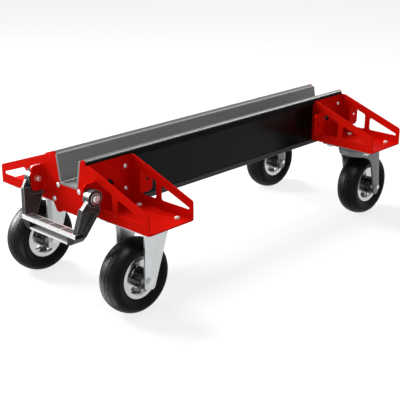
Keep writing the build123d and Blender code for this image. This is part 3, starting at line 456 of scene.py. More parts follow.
@dataclass(frozen=True)
class TreadRubber(Moulding):
    """Tyre rubber, dull in the marked grooves, with painted shade darkening them."""

    pit: Colour = (0.002, 0.002, 0.002)
    pit_cloud: float = 0.2

    def base(self, wiring: Wiring) -> bpy.types.NodeSocket:
        """The colour's socket, with painted shade in the grooves."""
        # Painted shade: the grooves are coloured darker than the lands.
        pit = wiring.clouded(wiring.noise(self.dust_scale), self.pit, self.pit_cloud)
        return wiring.choose(wiring.marked(GROOVE_MARK), super().base(wiring), pit)

    def dullness(self, wiring: Wiring) -> bpy.types.NodeSocket:
        """The roughness's socket, full in the grooves."""
        return wiring.larger(super().dullness(wiring), wiring.marked(GROOVE_MARK))


@dataclass(frozen=True)
class LeverPlastic(Moulding):
    """Plastic of the stirrup's arms: edges paler with wear and painted highlight, painted shade in the hollows, and
    black feet under the tread.
    """

    rubbed: Colour = (0.42, 0.421, 0.422)
    rub_reach: float = 3.0
    rub_cloud: float = 0.15
    black_share: float = 0.1
    hollow_reach: float = 9.0
    foot_height: float = 204.5

    def base(self, wiring: Wiring) -> bpy.types.NodeSocket:
        """The colour's socket, with its paler edges of wear and painted highlight, painted shade in its hollows,
        and its black feet.
        """
        cloud = wiring.noise(self.dust_scale, detail=6.0)
        black = wiring.shade(cloud, shaded(self.colour, self.black_share), shaded(self.dust, self.black_share))
        pale = wiring.clouded(cloud, self.rubbed, self.rub_cloud)
        # Painted shade: near black in the hollows.
        faces = wiring.choose(wiring.opened(self.hollow_reach), black, super().base(wiring))
        # Edges paler: wear and painted highlight.
        worn_and_highlit = wiring.choose(wiring.edges(self.rub_reach), faces, pale)
        return wiring.choose(wiring.past("Z", self.foot_height), black, worn_and_highlit)


@dataclass(frozen=True)
class Extrusion:
    """Satin extrusion: walls of one grey, rounded outer beads painted a darker grey as shade, faint lines along its
    length.
    """

    name: str
    wall: Colour
    bead: Colour
    bead_from: float
    roughness: float
    gloss: float
    wall_cloud: float = 0.06
    bead_cloud: float = 0.1
    cloud_scale: float = 18.0
    cloud_stretch: tuple[float, float, float] = (0.15, 1, 1)
    line_scale: float = 300.0
    line_stretch: tuple[float, float, float] = (0.01, 1, 1)
    line_share: float = 0.05
    line_depth: float = 0.1
    patch: float = 0.04

    def material(self) -> bpy.types.Material:
        """Wires the extrusion and returns it."""
        wiring = Wiring(self.name)
        cloud = wiring.noise(self.cloud_scale, detail=4.0, stretch=self.cloud_stretch)
        wall = wiring.clouded(cloud, self.wall, self.wall_cloud)
        # Painted shade: the beads are coloured darker than the walls.
        bead = wiring.clouded(cloud, self.bead, self.bead_cloud)
        wiring.feed(wiring.choose(wiring.past("Y", self.bead_from), wall, bead), "Base Color")
        lines = wiring.noise(self.line_scale, stretch=self.line_stretch)
        wiring.feed(wiring.ranged(lines, self.roughness - self.patch, self.roughness + self.patch), "Roughness")
        wiring.bump(lines, self.line_share, self.line_depth)
        wiring.set(Specular_IOR_Level=self.gloss)
        return wiring.material


class Finish(Enum):
    """Finishes of the trolley: one for each slot of the record, and some for single pieces."""

    RED_PAINT = Paint(
        "red_gloss_paint", (0.70, 0.0082, 0.0035), roughness=0.36, gloss=0.01, flake=0.16,
        flake_edge=(1.0, 0.08, 0.04))
    BLACK_PANEL = Paint("black_gloss_paint", (0.004, 0.004, 0.004), roughness=0.22, gloss=0.08)
    DARK_CHANNEL = Paint("dark_grey_paint", (0.066, 0.067, 0.068), roughness=0.45, gloss=0.1)
    # Its beads are painted darker as shade.
    GREY_LINER = Extrusion(
        "grey_slot_liner", (0.295, 0.296, 0.295), (0.10, 0.101, 0.102), bead_from=49.5, roughness=0.3, gloss=0.25)
    # Zinc with painted shade in hollows up to 60 mm deep.
    ZINC = Plating("zinc_plating", (0.56, 0.575, 0.585), roughness=0.36, hollow_reach=60.0)
    # A darker copy of the zinc plating: painted shade on the pieces that take it.
    DULL_ZINC = Plating("dull_zinc_plating", (0.14, 0.143, 0.147), roughness=0.38)
    BRIGHT_STEEL = Plating("bright_zinc_steel", (0.76, 0.76, 0.77), roughness=0.24, metal=0.75)
    # Nearly white and hardly metal: pale zinc with painted highlight in its colour.
    PALE_ZINC = Plating("pale_zinc_steel", (0.92, 0.915, 0.91), roughness=0.4, metal=0.05)
    DARK_STEEL = Plating("dark_oiled_steel", (0.08, 0.08, 0.085), roughness=0.35)
    TYRE = TreadRubber(
        "black_tyre_rubber", (0.005, 0.005, 0.005), (0.009, 0.009, 0.009), roughness=0.42, grain=1100.0,
        grain_share=0.008, gloss=0.06)
    BRIGHT_RIM = Plating("bright_rim_plating", (0.57, 0.58, 0.59), roughness=0.22, spangle=0.02)
    BLACK_PLASTIC = Moulding(
        "black_moulded_plastic", (0.016, 0.016, 0.017), (0.028, 0.028, 0.029), roughness=0.3, gloss=1.0)
    ARM_PLASTIC = LeverPlastic(
        "dark_grey_moulded_arm", (0.046, 0.047, 0.048), (0.058, 0.059, 0.06), roughness=0.3, grain=700.0,
        grain_share=0.02, gloss=0.15)
    # Black strips: the panel's top edge, and partly painted shade under the beads.
    EDGE_TRIM = Moulding(
        "black_edge_trim", (0.004, 0.004, 0.004), (0.006, 0.006, 0.006), roughness=0.5, grain=700.0,
        grain_share=0.05, gloss=0.04)
    # Alloy with painted shade darkening the deep part of the recess.
    TROUGH = Plating(
        "dull_alloy", (0.36, 0.365, 0.37), roughness=0.4, metal=0.3, drawn=(14, 1, 14), marks=0.02,
        hollow_reach=16.0, hollow_share=0.05)
    ALLOY = CappedAlloy(
        "drawn_alloy", (0.84, 0.845, 0.85), roughness=0.3, spangle=0.02, metal=0.4, drawn=(14, 1, 14), marks=0.015)
    GRIP = Moulding(
        "grey_grip_rubber", (0.11, 0.111, 0.112), (0.14, 0.141, 0.142), roughness=0.6, grain=800.0,
        grain_share=0.15, gloss=0.2)


class Paintshop:
    """Makes each finish once and hands it out."""

    def __init__(self) -> None:
        """Starts with nothing mixed."""
        self.mixed: dict[Finish, bpy.types.Material] = {}

    def get(self, finish: Finish) -> bpy.types.Material:
        """The material of a finish, made when first asked for."""
        if finish not in self.mixed:
            self.mixed[finish] = finish.value.material()
        return self.mixed[finish]


def spin_outline(bm: bmesh.types.BMesh, outline: Outline, steps: int, closed: bool) -> list[bmesh.types.BMVert]:
    """Spins an outline once round the Y axis.

    Args:
        bm: Mesh that takes the form.
        outline: Pairs of place along the axis and radius, in millimetres.
        steps: Divisions of the turn.
        closed: Whether the outline's last point joins its first.

    Returns:
        The new vertices.
    """
    before = set(bm.verts)
    points = [bm.verts.new((radius, along, 0)) for along, radius in outline]
    pairs = list(zip(points, points[1:]))
    if closed:
        pairs.append((points[-1], points[0]))
    edges = [bm.edges.new(pair) for pair in pairs]
    bmesh.ops.spin(
        bm, geom=points + edges, cent=(0, 0, 0), axis=(0, 1, 0), angle=math.tau, steps=steps, use_merge=True)
    return [vert for vert in bm.verts if vert not in before]


def facing(place: Sequence[float], way: Sequence[float]) -> Matrix:
    """Matrix that carries a form from the origin, facing +Y, to a place.

    Args:
        place: Where the form's seat goes, in millimetres.
        way: Direction that its +Y then faces.

    Returns:
        The matrix.
    """
    return Matrix.Translation(place) @ Vector(way).to_track_quat("Y", "Z").to_matrix().to_4x4()


def make_piece(
    bm: bmesh.types.BMesh, name: str, body: str, material: bpy.types.Material, sharp: float = 32.0
) -> bpy.types.Object:
    """Turns a mesh in millimetres into a piece of the trolley.

    Args:
        bm: The finished form, which is freed.
        name: The piece's name.
        body: Body that it rides on.
        material: Its finish.
        sharp: Edges bent by more degrees than this stay crisp.

    Returns:
        The piece's object.
    """
    bmesh.ops.remove_doubles(bm, verts=bm.verts[:], dist=MERGE_REACH)
    bmesh.ops.recalc_face_normals(bm, faces=bm.faces[:])
    bmesh.ops.scale(bm, vec=(MM, MM, MM), verts=bm.verts[:])
    mesh = bpy.data.meshes.new(name)
    bm.to_mesh(mesh)
    bm.free()
    mesh.shade_smooth()
    mesh.set_sharp_from_angle(angle=math.radians(sharp))
    mesh.materials.append(material)
    piece = bpy.data.objects.new(name, mesh)
    bpy.context.scene.collection.objects.link(piece)
    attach(piece, body)
    LOG.info("%s: %d faces on %s", name, len(mesh.polygons), body)
    return piece


@dataclass
class Wheel:
    """One wheel: its tyre with zig-zag grooves, and the rolled edges of its rim."""

    end: End
    side: Side
    side_wall: Outline = (
        (22.0, 51.0), (22.0, 58.0), (25.5, 58.4), (27.6, 59.6), (28.4, 61.4), (29.0, 63.0), (30.5, 65.5),
        (33.3, 69.2), (35.3, 74.0), (36.0, 79.0), (35.5, 82.6), (34.2, 86.0), (31.8, 89.2))
    crown_radius: float = 100.0
    shoulder_radius: float = 79.5
    half_width: float = 36.0
    tread_half: float = 28.0
    tread_steps: tuple[float, ...] = (6.5, 19.5, 24.0, 28.0)
    grooves: tuple[float, ...] = (-13.0, 0.0, 13.0)
    groove_half: float = 0.9
    groove_depth: float = 1.6
    groove_slope: float = 0.3
    zigzags: int = 40
    zigzag_steps: int = 4
    zigzag_reach: float = 1.9
    zigzag_fade: float = 8.0
    lip_radius: float = 1.5
    lip_place: tuple[float, float] = (24.6, 56.2)
    lip_sides: int = 10
    lip_steps: int = 96
    lip_sharp: float = 60.0

    @property
    def name(self) -> str:
        """Words that start this wheel's node names."""
        return f"{self.end.name.lower()}_{self.side.name.lower()}"

    @property
    def centre(self) -> Vector:
        """Middle of the wheel, in millimetres."""
        low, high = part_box(f"{self.name}_tyre")
        return (Vector(low) + Vector(high)) / (2 * MM)

    def tread_radius(self, across: float) -> float:
        """Radius of the tread at a distance from the wheel's middle."""
        rise = math.sqrt(1 - (across / self.half_width) ** 2)
        return self.shoulder_radius + (self.crown_radius - self.shoulder_radius) * rise

    def tyre_outline(self) -> list[tuple[float, float]]:
        """Section of the tyre, with an edge on both sides of each groove."""
        edges = [groove + way * self.groove_half for groove in self.grooves for way in (-1, 1)]
        middles = [way * step for step in self.tread_steps for way in (-1, 1)]
        tread = [(across, self.tread_radius(across)) for across in sorted(edges + middles)]
        left = [(-across, radius) for across, radius in self.side_wall]
        return left + tread + list(reversed(self.side_wall))

    def tyre(self, shop: Paintshop) -> bpy.types.Object:
        """Builds the tyre, puts it in its node's place and returns it."""
        bm = bmesh.new()
        spin_outline(bm, self.tyre_outline(), self.zigzag_steps * self.zigzags, closed=True)
        bmesh.ops.recalc_face_normals(bm, faces=bm.faces[:])
        mark = bm.faces.layers.float.new(GROOVE_MARK)
        for groove in self.grooves:
            ring = [face for face in bm.faces if self.in_groove(face.calc_center_median(), groove)]
            walls = bmesh.ops.inset_region(
                bm, faces=ring, thickness=self.groove_slope, depth=-self.groove_depth, use_even_offset=True,
                use_boundary=True)
            for face in ring + walls["faces"]:
                face[mark] = 1.0
        for vert in bm.verts:
            self.zigzag(vert)
        bmesh.ops.translate(bm, vec=self.centre, verts=bm.verts[:])
        piece = make_piece(bm, f"{self.name}_grooved_tyre", f"{self.name}_wheel", shop.get(Finish.TYRE))
        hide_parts(f"{self.name}_tyre")
        return piece

    def in_groove(self, place: Vector, groove: float) -> bool:
        """Whether a face's middle lies on the tread between a groove's edges."""
        on_tread = math.hypot(place.x, place.z) > self.tread_radius(place.y) - self.groove_depth
        return on_tread and abs(place.y - groove) < self.groove_half

    def zigzag(self, vert: bmesh.types.BMVert) -> None:
        """Moves a point of the tread to and fro across the wheel, less towards the shoulders."""
        across, radius = vert.co.y, math.hypot(vert.co.x, vert.co.z)
        if abs(across) >= self.tread_half or radius < self.tread_radius(across) - 2 * self.groove_depth:
            return
        wave = math.asin(math.sin(self.zigzags * math.atan2(vert.co.z, vert.co.x))) * 2 / math.pi
        fade = min(1.0, (self.tread_half - abs(across)) / self.zigzag_fade)
        moved = across + self.zigzag_reach * wave * fade
        grown = (radius + self.tread_radius(moved) - self.tread_radius(across)) / radius
        vert.co = (vert.co.x * grown, moved, vert.co.z * grown)

    def rim_lips(self, shop: Paintshop) -> None:
        """Builds the rolled edges of both rim flanges."""
        bm = bmesh.new()
        across, radius = self.lip_place
        turns = [math.tau * step / self.lip_sides for step in range(self.lip_sides)]
        for way in (-1, 1):
            outline = [
                (way * across + self.lip_radius * math.cos(turn), radius + self.lip_radius * math.sin(turn))
                for turn in turns]
            spin_outline(bm, outline, self.lip_steps, closed=True)
        bmesh.ops.translate(bm, vec=self.centre, verts=bm.verts[:])
        plating = shop.get(Finish.BRIGHT_RIM)
        make_piece(bm, f"{self.name}_rim_lips", f"{self.name}_wheel", plating, self.lip_sharp)


@dataclass
class ButtonBolt:
    """Bolt with a domed head and a hexagon socket, seated at the origin and facing +Y."""

    head_radius: float
    head_rise: float
    shank: Outline
    socket_radius: float
    socket_depth: float
    edge: float = 0.7
    steps: int = 24
    dome_steps: int = 5
    socket_margin: float = 0.8

    def add(self, bm: bmesh.types.BMesh, matrix: Matrix) -> None:
        """Adds one bolt to a mesh.

        Args:
            bm: Mesh that takes it.
            matrix: Where it goes.
        """
        before = set(bm.verts)
        crown = self.socket_radius + self.socket_margin
        arc = []
        for step in range(self.dome_steps + 1):
            turn = math.pi / 2 * step / self.dome_steps
            arc.append((
                self.edge + (self.head_rise - self.edge) * math.sin(turn),
                crown + (self.head_radius - crown) * math.cos(turn)))
        spin_outline(bm, [*self.shank, (0.0, self.head_radius), *arc], self.steps, closed=False)
        made = [vert for vert in bm.verts if vert not in before]
        bmesh.ops.remove_doubles(bm, verts=made, dist=MERGE_REACH)
        rim = [edge for edge in bm.edges if edge.is_boundary and edge.verts[0] not in before]
        seat = facing((0, self.head_rise - self.socket_depth, 0), (0, 1, 0))
        floor = bmesh.ops.create_circle(
            bm, cap_ends=True, segments=6, radius=self.socket_radius,
            matrix=seat @ Matrix.Rotation(math.pi / 2, 4, "X"))
        sides = {edge for vert in floor["verts"] for edge in vert.link_edges}
        walls = bmesh.ops.extrude_edge_only(bm, edges=list(sides))
        top = [item for item in walls["geom"] if isinstance(item, bmesh.types.BMVert)]
        bmesh.ops.translate(bm, vec=(0, self.socket_depth, 0), verts=top)
        mouth = [
            item for item in walls["geom"]
            if isinstance(item, bmesh.types.BMEdge) and all(vert in top for vert in item.verts)]
        bmesh.ops.bridge_loops(bm, edges=rim + mouth)
        bmesh.ops.transform(bm, matrix=matrix, verts=[vert for vert in bm.verts if vert not in before])


@dataclass
class PlateBolts:
    """Domed bolts of the end plates and side plates, and the stirrup's shoulder bolts."""

    front_x: float = -539.0
    rear_x: float = 555.0
    side_y: float = 72.0
    bracket_inset: float = 76.5
    side_step: float = 54.5
    side_heights: tuple[float, float] = (281.3, 342.3)
    end_places: Outline = ((42.93, 295.8), (61.3, 254.3))
    pivot: Point = (-561.0, 134.0, 305.216)

    def places(self) -> list[Matrix]:
        """Where each plate bolt goes."""
        found = []
        for end, face in ((-1, self.front_x), (1, self.rear_x)):
            for side in (-1, 1):
                found += [facing((face, side * y, z), (end, 0, 0)) for y, z in self.end_places]
                middle = face - end * self.bracket_inset
                for step in (-1, 1):
                    x = middle + step * self.side_step
                    found += [facing((x, side * self.side_y, z), (0, side, 0)) for z in self.side_heights]
        return found

    def build(self, shop: Paintshop) -> None:
        """Builds both groups of bolts and puts them in their nodes' places."""
        bolt = ButtonBolt(
            head_radius=7.0, head_rise=4.4, shank=((-20.0, 0.0), (-20.0, 3.4), (-19.2, 4.0), (0.0, 4.0)),
            socket_radius=3.0, socket_depth=2.6)
        bm = bmesh.new()
        for matrix in self.places():
            bolt.add(bm, matrix)
        steel = shop.get(Finish.BRIGHT_STEEL)
        piece = make_piece(bm, "socket_plate_bolts", "chassis", steel, BOLT_SHARP)
        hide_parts("plate_bolts")
        shoulder = ButtonBolt(
            head_radius=9.5, head_rise=4.5,
            shank=((-39.0, 0.0), (-39.0, 4.2), (-38.2, 5.0), (-25.0, 5.0), (-25.0, 8.0), (0.0, 8.0)),
            socket_radius=4.6, socket_depth=3.0)
        bm = bmesh.new()
        x, y, z = self.pivot
        for side in (-1, 1):
            shoulder.add(bm, facing((x, side * y, z), (0, side, 0)))
        piece = make_piece(bm, "socket_pivot_bolts", "chassis", steel, BOLT_SHARP)
        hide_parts("stirrup_pivot_bolts")


@dataclass
class CasterBolts:
    """Domed bolts that hold the casters to the wing floors."""

    middles: tuple[float, float] = (-462.5, 478.5)
    caster_y: float = 196.0
    pattern: tuple[float, float] = (52.5, 70.0)
    floor_z: float = 247.8

    def build(self, shop: Paintshop) -> None:
        """Builds the sixteen bolts and puts them in their node's place."""
        bolt = ButtonBolt(
            head_radius=7.2, head_rise=5.4, shank=((-20.0, 0.0), (-20.0, 4.2), (-19.2, 5.0), (0.0, 5.0)),
            socket_radius=2.8, socket_depth=2.2)
        short, long = self.pattern
        bm = bmesh.new()
        for middle in self.middles:
            for side in (-1, 1):
                for i in (-1, 1):
                    for j in (-1, 1):
                        place = (middle + i * short, side * self.caster_y + j * long, self.floor_z)
                        bolt.add(bm, facing(place, (0, 0, 1)))
        zinc = shop.get(Finish.PALE_ZINC)
        piece = make_piece(bm, "domed_caster_bolts", "chassis", zinc, BOLT_SHARP)
        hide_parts("caster_bolts")


@dataclass
class EdgeTrimAndShade:
    """Black edge strips under both beads of the slot, low on the beam and short over the side plates: the panel's
    top edge, and partly painted shade under the beads.
    """

    inner: float = 67.5
    outer: float = 72.2
    top: float = 379.0
    beam_foot: float = 362.0
    plate_foot: float = 371.85
    stretches: tuple[tuple[float, float, bool], ...] = (
        (-535.0, -386.0, True), (-386.0, 402.0, False), (402.0, 551.0, True))
    rounding: float = 1.2

    def build(self, shop: Paintshop) -> None:
        """Builds the strips of both sides as one piece."""
        bm = bmesh.new()
        for side in (-1, 1):
            for start, end, on_plate in self.stretches:
                foot = self.plate_foot if on_plate else self.beam_foot
                made = bmesh.ops.create_cube(bm, size=1.0)["verts"]
                bmesh.ops.scale(bm, vec=(end - start, self.outer - self.inner, self.top - foot), verts=made)
                middle = ((start + end) / 2, side * (self.inner + self.outer) / 2, (self.top + foot) / 2)
                bmesh.ops.translate(bm, vec=middle, verts=made)
                brow = [
                    edge for vert in made for edge in vert.link_edges
                    if all(
                        abs(tip.co.y) > self.outer - TOUCH and tip.co.z > self.top - TOUCH for tip in edge.verts)]
                bmesh.ops.bevel(
                    bm, geom=list(set(brow)), offset=self.rounding, segments=4, profile=0.5, affect="EDGES",
                    material=-1)
        make_piece(bm, "beam_edge_trim", "chassis", shop.get(Finish.EDGE_TRIM))


@dataclass
class Stirrup:
    """Fine pieces of the stirrup: grip pads and a hollow trough on its tread, and bright rings in its hub caps."""

    pads: int = 4
    pad_pitch: float = 47.0
    pad_half: float = 21.3
    pad_lean: float = 5.0
    pad_front: float = -608.8
    pad_back: float = -590.2
    pad_floor: float = 214.516
    pad_thick: float = 0.8
    ridge_rise: float = 0.35
    ridges: int = 5
    pivot_x: float = -561.0
    pivot_z: float = 305.216
    trough_back: float = -592.0
    trough_front: float = -606.0
    trough_half: float = 76.0
    trough_heights: tuple[float, float] = (188.6, 204.4)
    trough_steps: int = 10
    cap_face: float = 133.5
    ring_radii: tuple[float, float] = (12.1, 14.4)
    ring_foot: float = 1.2
    ring_rise: float = 0.3
    ring_edge: float = 0.6
    ring_steps: int = 64

    def grip_pads(self, shop: Paintshop) -> None:
        """Builds the ribbed pads that lie in the tread's four recesses."""
        bm = bmesh.new()
        for place in range(self.pads):
            middle = (place - (self.pads - 1) / 2) * self.pad_pitch
            front, back = (self.pad_front, 1), (self.pad_back, -1)
            corners = [
                (x, middle + way * self.pad_half + lean * self.pad_lean / 2, self.pad_floor)
                for (x, lean), way in ((front, -1), (back, -1), (back, 1), (front, 1))]
            sole = bm.faces.new([bm.verts.new(corner) for corner in corners])
            raised = bmesh.ops.extrude_face_region(bm, geom=[sole], use_keep_orig=True)
            top = [item for item in raised["geom"] if isinstance(item, bmesh.types.BMVert)]
            bmesh.ops.translate(bm, vec=(0, 0, self.pad_thick), verts=top)
        strips = 2 * self.ridges + 1
        width = (self.pad_back - self.pad_front) / strips
        for cut in range(1, strips):
            bmesh.ops.bisect_plane(
                bm, geom=bm.verts[:] + bm.edges[:] + bm.faces[:], plane_co=(self.pad_front + cut * width, 0, 0),
                plane_no=(1, 0, 0))
        ridge_faces = [
            face for face in bm.faces
            if face.calc_center_median().z > self.pad_floor + self.pad_thick - TOUCH
            and int((face.calc_center_median().x - self.pad_front) / width) % 2 == 0]
        raised = bmesh.ops.extrude_discrete_faces(bm, faces=ridge_faces)
        tops = {vert for face in raised["faces"] for vert in face.verts}
        bmesh.ops.translate(bm, vec=(0, 0, self.ridge_rise), verts=list(tops))
        make_piece(bm, "stirrup_grip_pads", "stirrup", shop.get(Finish.GRIP))

    def recess_trough(self, shop: Paintshop) -> None:
        """Builds the hollow curve that fills the recess under the tread's nosing; its finish paints shade deep in
        the recess.
        """
        bm = bmesh.new()
        low, high = self.trough_heights
        corner = bm.verts.new((self.trough_back, -self.trough_half, low))
        start = bm.verts.new((self.trough_back, -self.trough_half, high))
        curve = bmesh.ops.spin(
            bm, geom=[start], cent=(self.trough_back - (high - low), -self.trough_half, high), axis=(0, 1, 0),
            angle=math.pi / 2, steps=self.trough_steps)["geom_last"]
        end = next(item for item in curve if isinstance(item, bmesh.types.BMVert))
        bm.edges.new((end, corner))
        bm.edges.new((corner, start))
        reach = (self.trough_back - self.trough_front) / (high - low)
        about_back = Matrix.Translation((-self.trough_back, 0, 0))
        bmesh.ops.scale(bm, vec=(reach, 1, 1), space=about_back, verts=bm.verts[:])
        section = bmesh.ops.contextual_create(bm, geom=bm.edges[:])["faces"]
        drawn = bmesh.ops.extrude_face_region(bm, geom=section, use_keep_orig=True)
        far = [item for item in drawn["geom"] if isinstance(item, bmesh.types.BMVert)]
        bmesh.ops.translate(bm, vec=(0, 2 * self.trough_half, 0), verts=far)
        make_piece(bm, "stirrup_recess_trough", "stirrup", shop.get(Finish.TROUGH))

    def cap_rings(self, shop: Paintshop) -> None:
        """Builds the bright rings that sit in the hub caps' sunk rings."""
        bm = bmesh.new()
        inner, outer = self.ring_radii
        outline = [
            (-self.ring_foot, inner), (-self.ring_rise, inner), (self.ring_rise, inner + self.ring_edge),
            (self.ring_rise, outer - self.ring_edge), (-self.ring_rise, outer), (-self.ring_foot, outer)]
        for side in (-1, 1):
            made = spin_outline(bm, outline, self.ring_steps, closed=True)
            bmesh.ops.transform(
                bm, matrix=facing((self.pivot_x, side * self.cap_face, self.pivot_z), (0, side, 0)), verts=made)
        make_piece(bm, "stirrup_cap_rings", "stirrup", shop.get(Finish.BRIGHT_STEEL))


@dataclass
class SwivelCrown:
    """Small bolts on the skirt of one swivel fork's crown."""

    side: Side
    pin_x: float = 478.5
    caster_y: float = 196.0
    skirt_radius: float = 58.0
    bolt_height: float = 220.5
    bolt_run: float = 35.0

    def bolts(self, shop: Paintshop) -> None:
        """Builds a bolt on each flank of the crown."""
        bolt = ButtonBolt(
            head_radius=3.6, head_rise=2.4, shank=((-2.0, 0.0), (-2.0, 2.2), (0.0, 2.2)),
            socket_radius=1.5, socket_depth=1.2)
        bm = bmesh.new()
        reach = math.sqrt(self.skirt_radius ** 2 - self.bolt_run ** 2)
        for flank in (-1, 1):
            way = Vector((-self.bolt_run, flank * reach, 0)).normalized()
            seat = Vector((self.pin_x, self.side.value * self.caster_y, self.bolt_height)) + way * self.skirt_radius
            bolt.add(bm, facing(seat, way))
        name = self.side.name.lower()
        zinc = shop.get(Finish.PALE_ZINC)
        make_piece(bm, f"rear_{name}_crown_bolts", f"rear_{name}_swivel", zinc, BOLT_SHARP)


@dataclass
class Bodywork:
    """Finishes of the pieces that come from the frame."""

    nodes: dict[str, bpy.types.Object]
    slots: dict[str, str]
    # The rear forks and the top plates take the shaded copy of the zinc.
    own_finishes: tuple[tuple[str, Finish], ...] = (
        ("rear_left_fork", Finish.DULL_ZINC), ("rear_right_fork", Finish.DULL_ZINC),
        ("top_plate", Finish.DULL_ZINC), ("_axle", Finish.BRIGHT_STEEL), ("_arm", Finish.ARM_PLASTIC))

    def finish_of(self, node: str) -> Finish:
        """A node's own finish, or the finish of its slot."""
        for ending, finish in self.own_finishes:
            if node.endswith(ending):
                return finish
        return Finish[self.slots[node].upper()]

    def dress(self, shop: Paintshop) -> None:
        """Gives each node its finish."""
        for node, obj in self.nodes.items():
            obj.data.materials.clear()
            material = shop.get(self.finish_of(node))
            obj.data.materials.append(material)
            LOG.info("%s: %s", node, material.name)


class Gleam(Enum):
    """What a lamp lights: the whole scene, or nothing but the gloss of some pieces."""

    EVERYTHING = "everything"
    TYRES = "tyres"
    LINER = "liner"
    ARMS = "arms"


@dataclass(frozen=True)
class SoftLamp:
    """Flat lamp, or a reflector card where it only gleams on some pieces. Its places and sizes are in metres."""

    name: str
    place: Point
    power: float
    width: float
    length: float
    gleam: Gleam = Gleam.EVERYTHING
    aim: Point = (0.0, 0.0, 0.25)

    def build(self, pieces: Sequence[bpy.types.Object]) -> None:
        """Adds the lamp to the scene.

        Args:
            pieces: Pieces that it gleams on, or none where it lights the whole scene.
        """
        light = bpy.data.lights.new(self.name, "AREA")
        light.energy = self.power
        light.shape = "RECTANGLE"
        light.size = self.width
        light.size_y = self.length
        lamp = bpy.data.objects.new(self.name, light)
        lamp.location = self.place
        if pieces:
            lamp.visible_camera = lamp.visible_diffuse = False
            lamp.light_linking.receiver_collection = bpy.data.collections.new(f"{self.name}_pieces")
            for piece in pieces:
                lamp.light_linking.receiver_collection.objects.link(piece)
        lamp.rotation_euler = (Vector(self.aim) - Vector(self.place)).to_track_quat("-Z", "Y").to_euler()
        bpy.context.scene.collection.objects.link(lamp)


LAMPS = (
    SoftLamp("main_softbox", (-1.5, 2.2, 2.0), 66.0, 1.0, 1.0),
    SoftLamp("back_softbox", (0.0, 1.5, 2.9), 70.0, 1.0, 1.0),
    SoftLamp("front_softbox", (-3.0, 0.3, 0.75), 6.0, 1.4, 1.4),
    SoftLamp("side_card", (-1.15, 2.0, 1.05), 350.0, 1.2, 1.2, Gleam.TYRES),
    SoftLamp("crown_card", (-0.7, -0.4, 2.4), 110.0, 1.0, 1.0, Gleam.TYRES),
    SoftLamp("floor_card", (-0.77, -0.05, 0.001), 2.2, 0.36, 0.34, Gleam.TYRES, (-0.77, -0.05, 1.0)),
    SoftLamp("top_card", (1.7, -0.2, 2.3), 125.0, 1.0, 2.0, Gleam.LINER),
    SoftLamp("arm_card", (-1.75, 1.6, 1.46), 520.0, 1.4, 1.4, Gleam.ARMS),
)


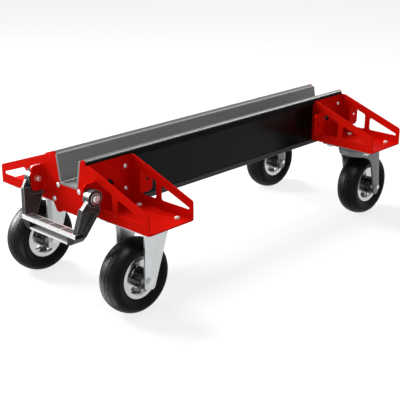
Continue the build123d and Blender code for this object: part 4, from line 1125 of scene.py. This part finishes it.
@dataclass
class Studio:
    """Pale floor, white surroundings, soft lamps and the camera."""

    eye: Point = (-1.9124, -1.7858, 1.0672)
    aim: Point = (-0.16602, -0.1108, 0.19439)
    lens: float = 82.223
    sensor: float = 36.0
    ambient: float = 0.24
    floor_colour: Colour = (0.36, 0.36, 0.36)
    floor_glow: float = 0.8
    floor_bounce: float = 0.3
    floor_half: float = 20.0
    floor_cloud: float = 0.02
    floor_scale: float = 3.0
    lamps: tuple[SoftLamp, ...] = LAMPS

    def seen_rays(self, tree: bpy.types.NodeTree) -> bpy.types.NodeSocket:
        """Socket that is 1 for rays from the camera, a reflection or glass."""
        path = tree.nodes.new("ShaderNodeLightPath")
        total = path.outputs["Is Camera Ray"]
        for name in ("Is Glossy Ray", "Is Transmission Ray"):
            node = tree.nodes.new("ShaderNodeMath")
            node.operation = "MAXIMUM"
            tree.links.new(total, node.inputs[0])
            tree.links.new(path.outputs[name], node.inputs[1])
            total = node.outputs["Value"]
        return total

    def world(self) -> None:
        """White surroundings that light the trolley softly."""
        world = bpy.data.worlds.new("studio_white")
        world.use_nodes = True
        tree = world.node_tree
        tree.nodes.clear()
        shades = []
        for strength in (self.ambient, 1.0):
            shade = tree.nodes.new("ShaderNodeBackground")
            shade.inputs["Strength"].default_value = strength
            shade.inputs["Color"].default_value = (1, 1, 1, 1)
            shades.append(shade)
        mix = tree.nodes.new("ShaderNodeMixShader")
        tree.links.new(self.seen_rays(tree), mix.inputs["Fac"])
        for place, shade in enumerate(shades, 1):
            tree.links.new(shade.outputs["Background"], mix.inputs[place])
        output = tree.nodes.new("ShaderNodeOutputWorld")
        tree.links.new(mix.outputs["Shader"], output.inputs["Surface"])
        bpy.context.scene.world = world

    def floor(self) -> None:
        """Pale floor that looks white and keeps the trolley's shadow."""
        bm = bmesh.new()
        bmesh.ops.create_grid(bm, x_segments=2, y_segments=2, size=self.floor_half)
        mesh = bpy.data.meshes.new("studio_floor")
        bm.to_mesh(mesh)
        bm.free()
        wiring = Wiring("pale_floor")
        paler = shaded(self.floor_colour, 1 + self.floor_cloud)
        wiring.feed(wiring.shade(wiring.noise(self.floor_scale), self.floor_colour, paler), "Base Color")
        wiring.set(Roughness=0.95, Specular_IOR_Level=0.0)
        tree = wiring.tree
        mix = tree.nodes.new("ShaderNodeMixShader")
        tree.links.new(self.seen_rays(tree), mix.inputs["Fac"])
        for place, strength in enumerate((self.floor_bounce, self.floor_glow), 1):
            glow = tree.nodes.new("ShaderNodeEmission")
            glow.inputs["Strength"].default_value = strength
            tree.links.new(glow.outputs["Emission"], mix.inputs[place])
        both = tree.nodes.new("ShaderNodeAddShader")
        tree.links.new(wiring.shader.outputs["BSDF"], both.inputs[0])
        tree.links.new(mix.outputs["Shader"], both.inputs[1])
        tree.links.new(both.outputs["Shader"], tree.nodes["Material Output"].inputs["Surface"])
        mesh.materials.append(wiring.material)
        floor = bpy.data.objects.new("studio_floor", mesh)
        bpy.context.scene.collection.objects.link(floor)

    def camera(self) -> None:
        """Places the camera at the photograph's angle."""
        data = bpy.data.cameras.new("view")
        data.lens = self.lens
        data.sensor_width = self.sensor
        camera = bpy.data.objects.new("view", data)
        camera.location = self.eye
        camera.rotation_euler = (Vector(self.aim) - Vector(self.eye)).to_track_quat("-Z", "Y").to_euler()
        bpy.context.scene.collection.objects.link(camera)
        bpy.context.scene.camera = camera

    def build(self, pieces: dict[Gleam, Sequence[bpy.types.Object]]) -> None:
        """Sets up the whole studio.

        Args:
            pieces: The pieces that have reflector cards of their own.
        """
        self.world()
        self.floor()
        for lamp in self.lamps:
            lamp.build(pieces.get(lamp.gleam, ()))
        self.camera()
        bpy.context.scene.view_settings.view_transform = "Standard"


def main() -> None:
    """Builds the trolley's pieces in order."""
    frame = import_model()
    shop = Paintshop()
    slots = {part["node"]: part["material_slot"] for part in frame["record"]["subparts"]}
    Bodywork(frame["nodes"], slots).dress(shop)
    wheels = [Wheel(end, side) for end in End for side in Side]
    tyres = [wheel.tyre(shop) for wheel in wheels]
    for wheel in wheels:
        wheel.rim_lips(shop)
    PlateBolts().build(shop)
    CasterBolts().build(shop)
    EdgeTrimAndShade().build(shop)
    stirrup = Stirrup()
    stirrup.grip_pads(shop)
    stirrup.recess_trough(shop)
    stirrup.cap_rings(shop)
    for side in Side:
        SwivelCrown(side).bolts(shop)
    arms = [frame["nodes"][f"stirrup_{side.name.lower()}_arm"] for side in Side]
    liner = [frame["nodes"]["slot_liner"]]
    Studio().build({Gleam.TYRES: tyres, Gleam.LINER: liner, Gleam.ARMS: arms})


if __name__ == "__main__":
    logging.basicConfig(level=logging.INFO)
    main()
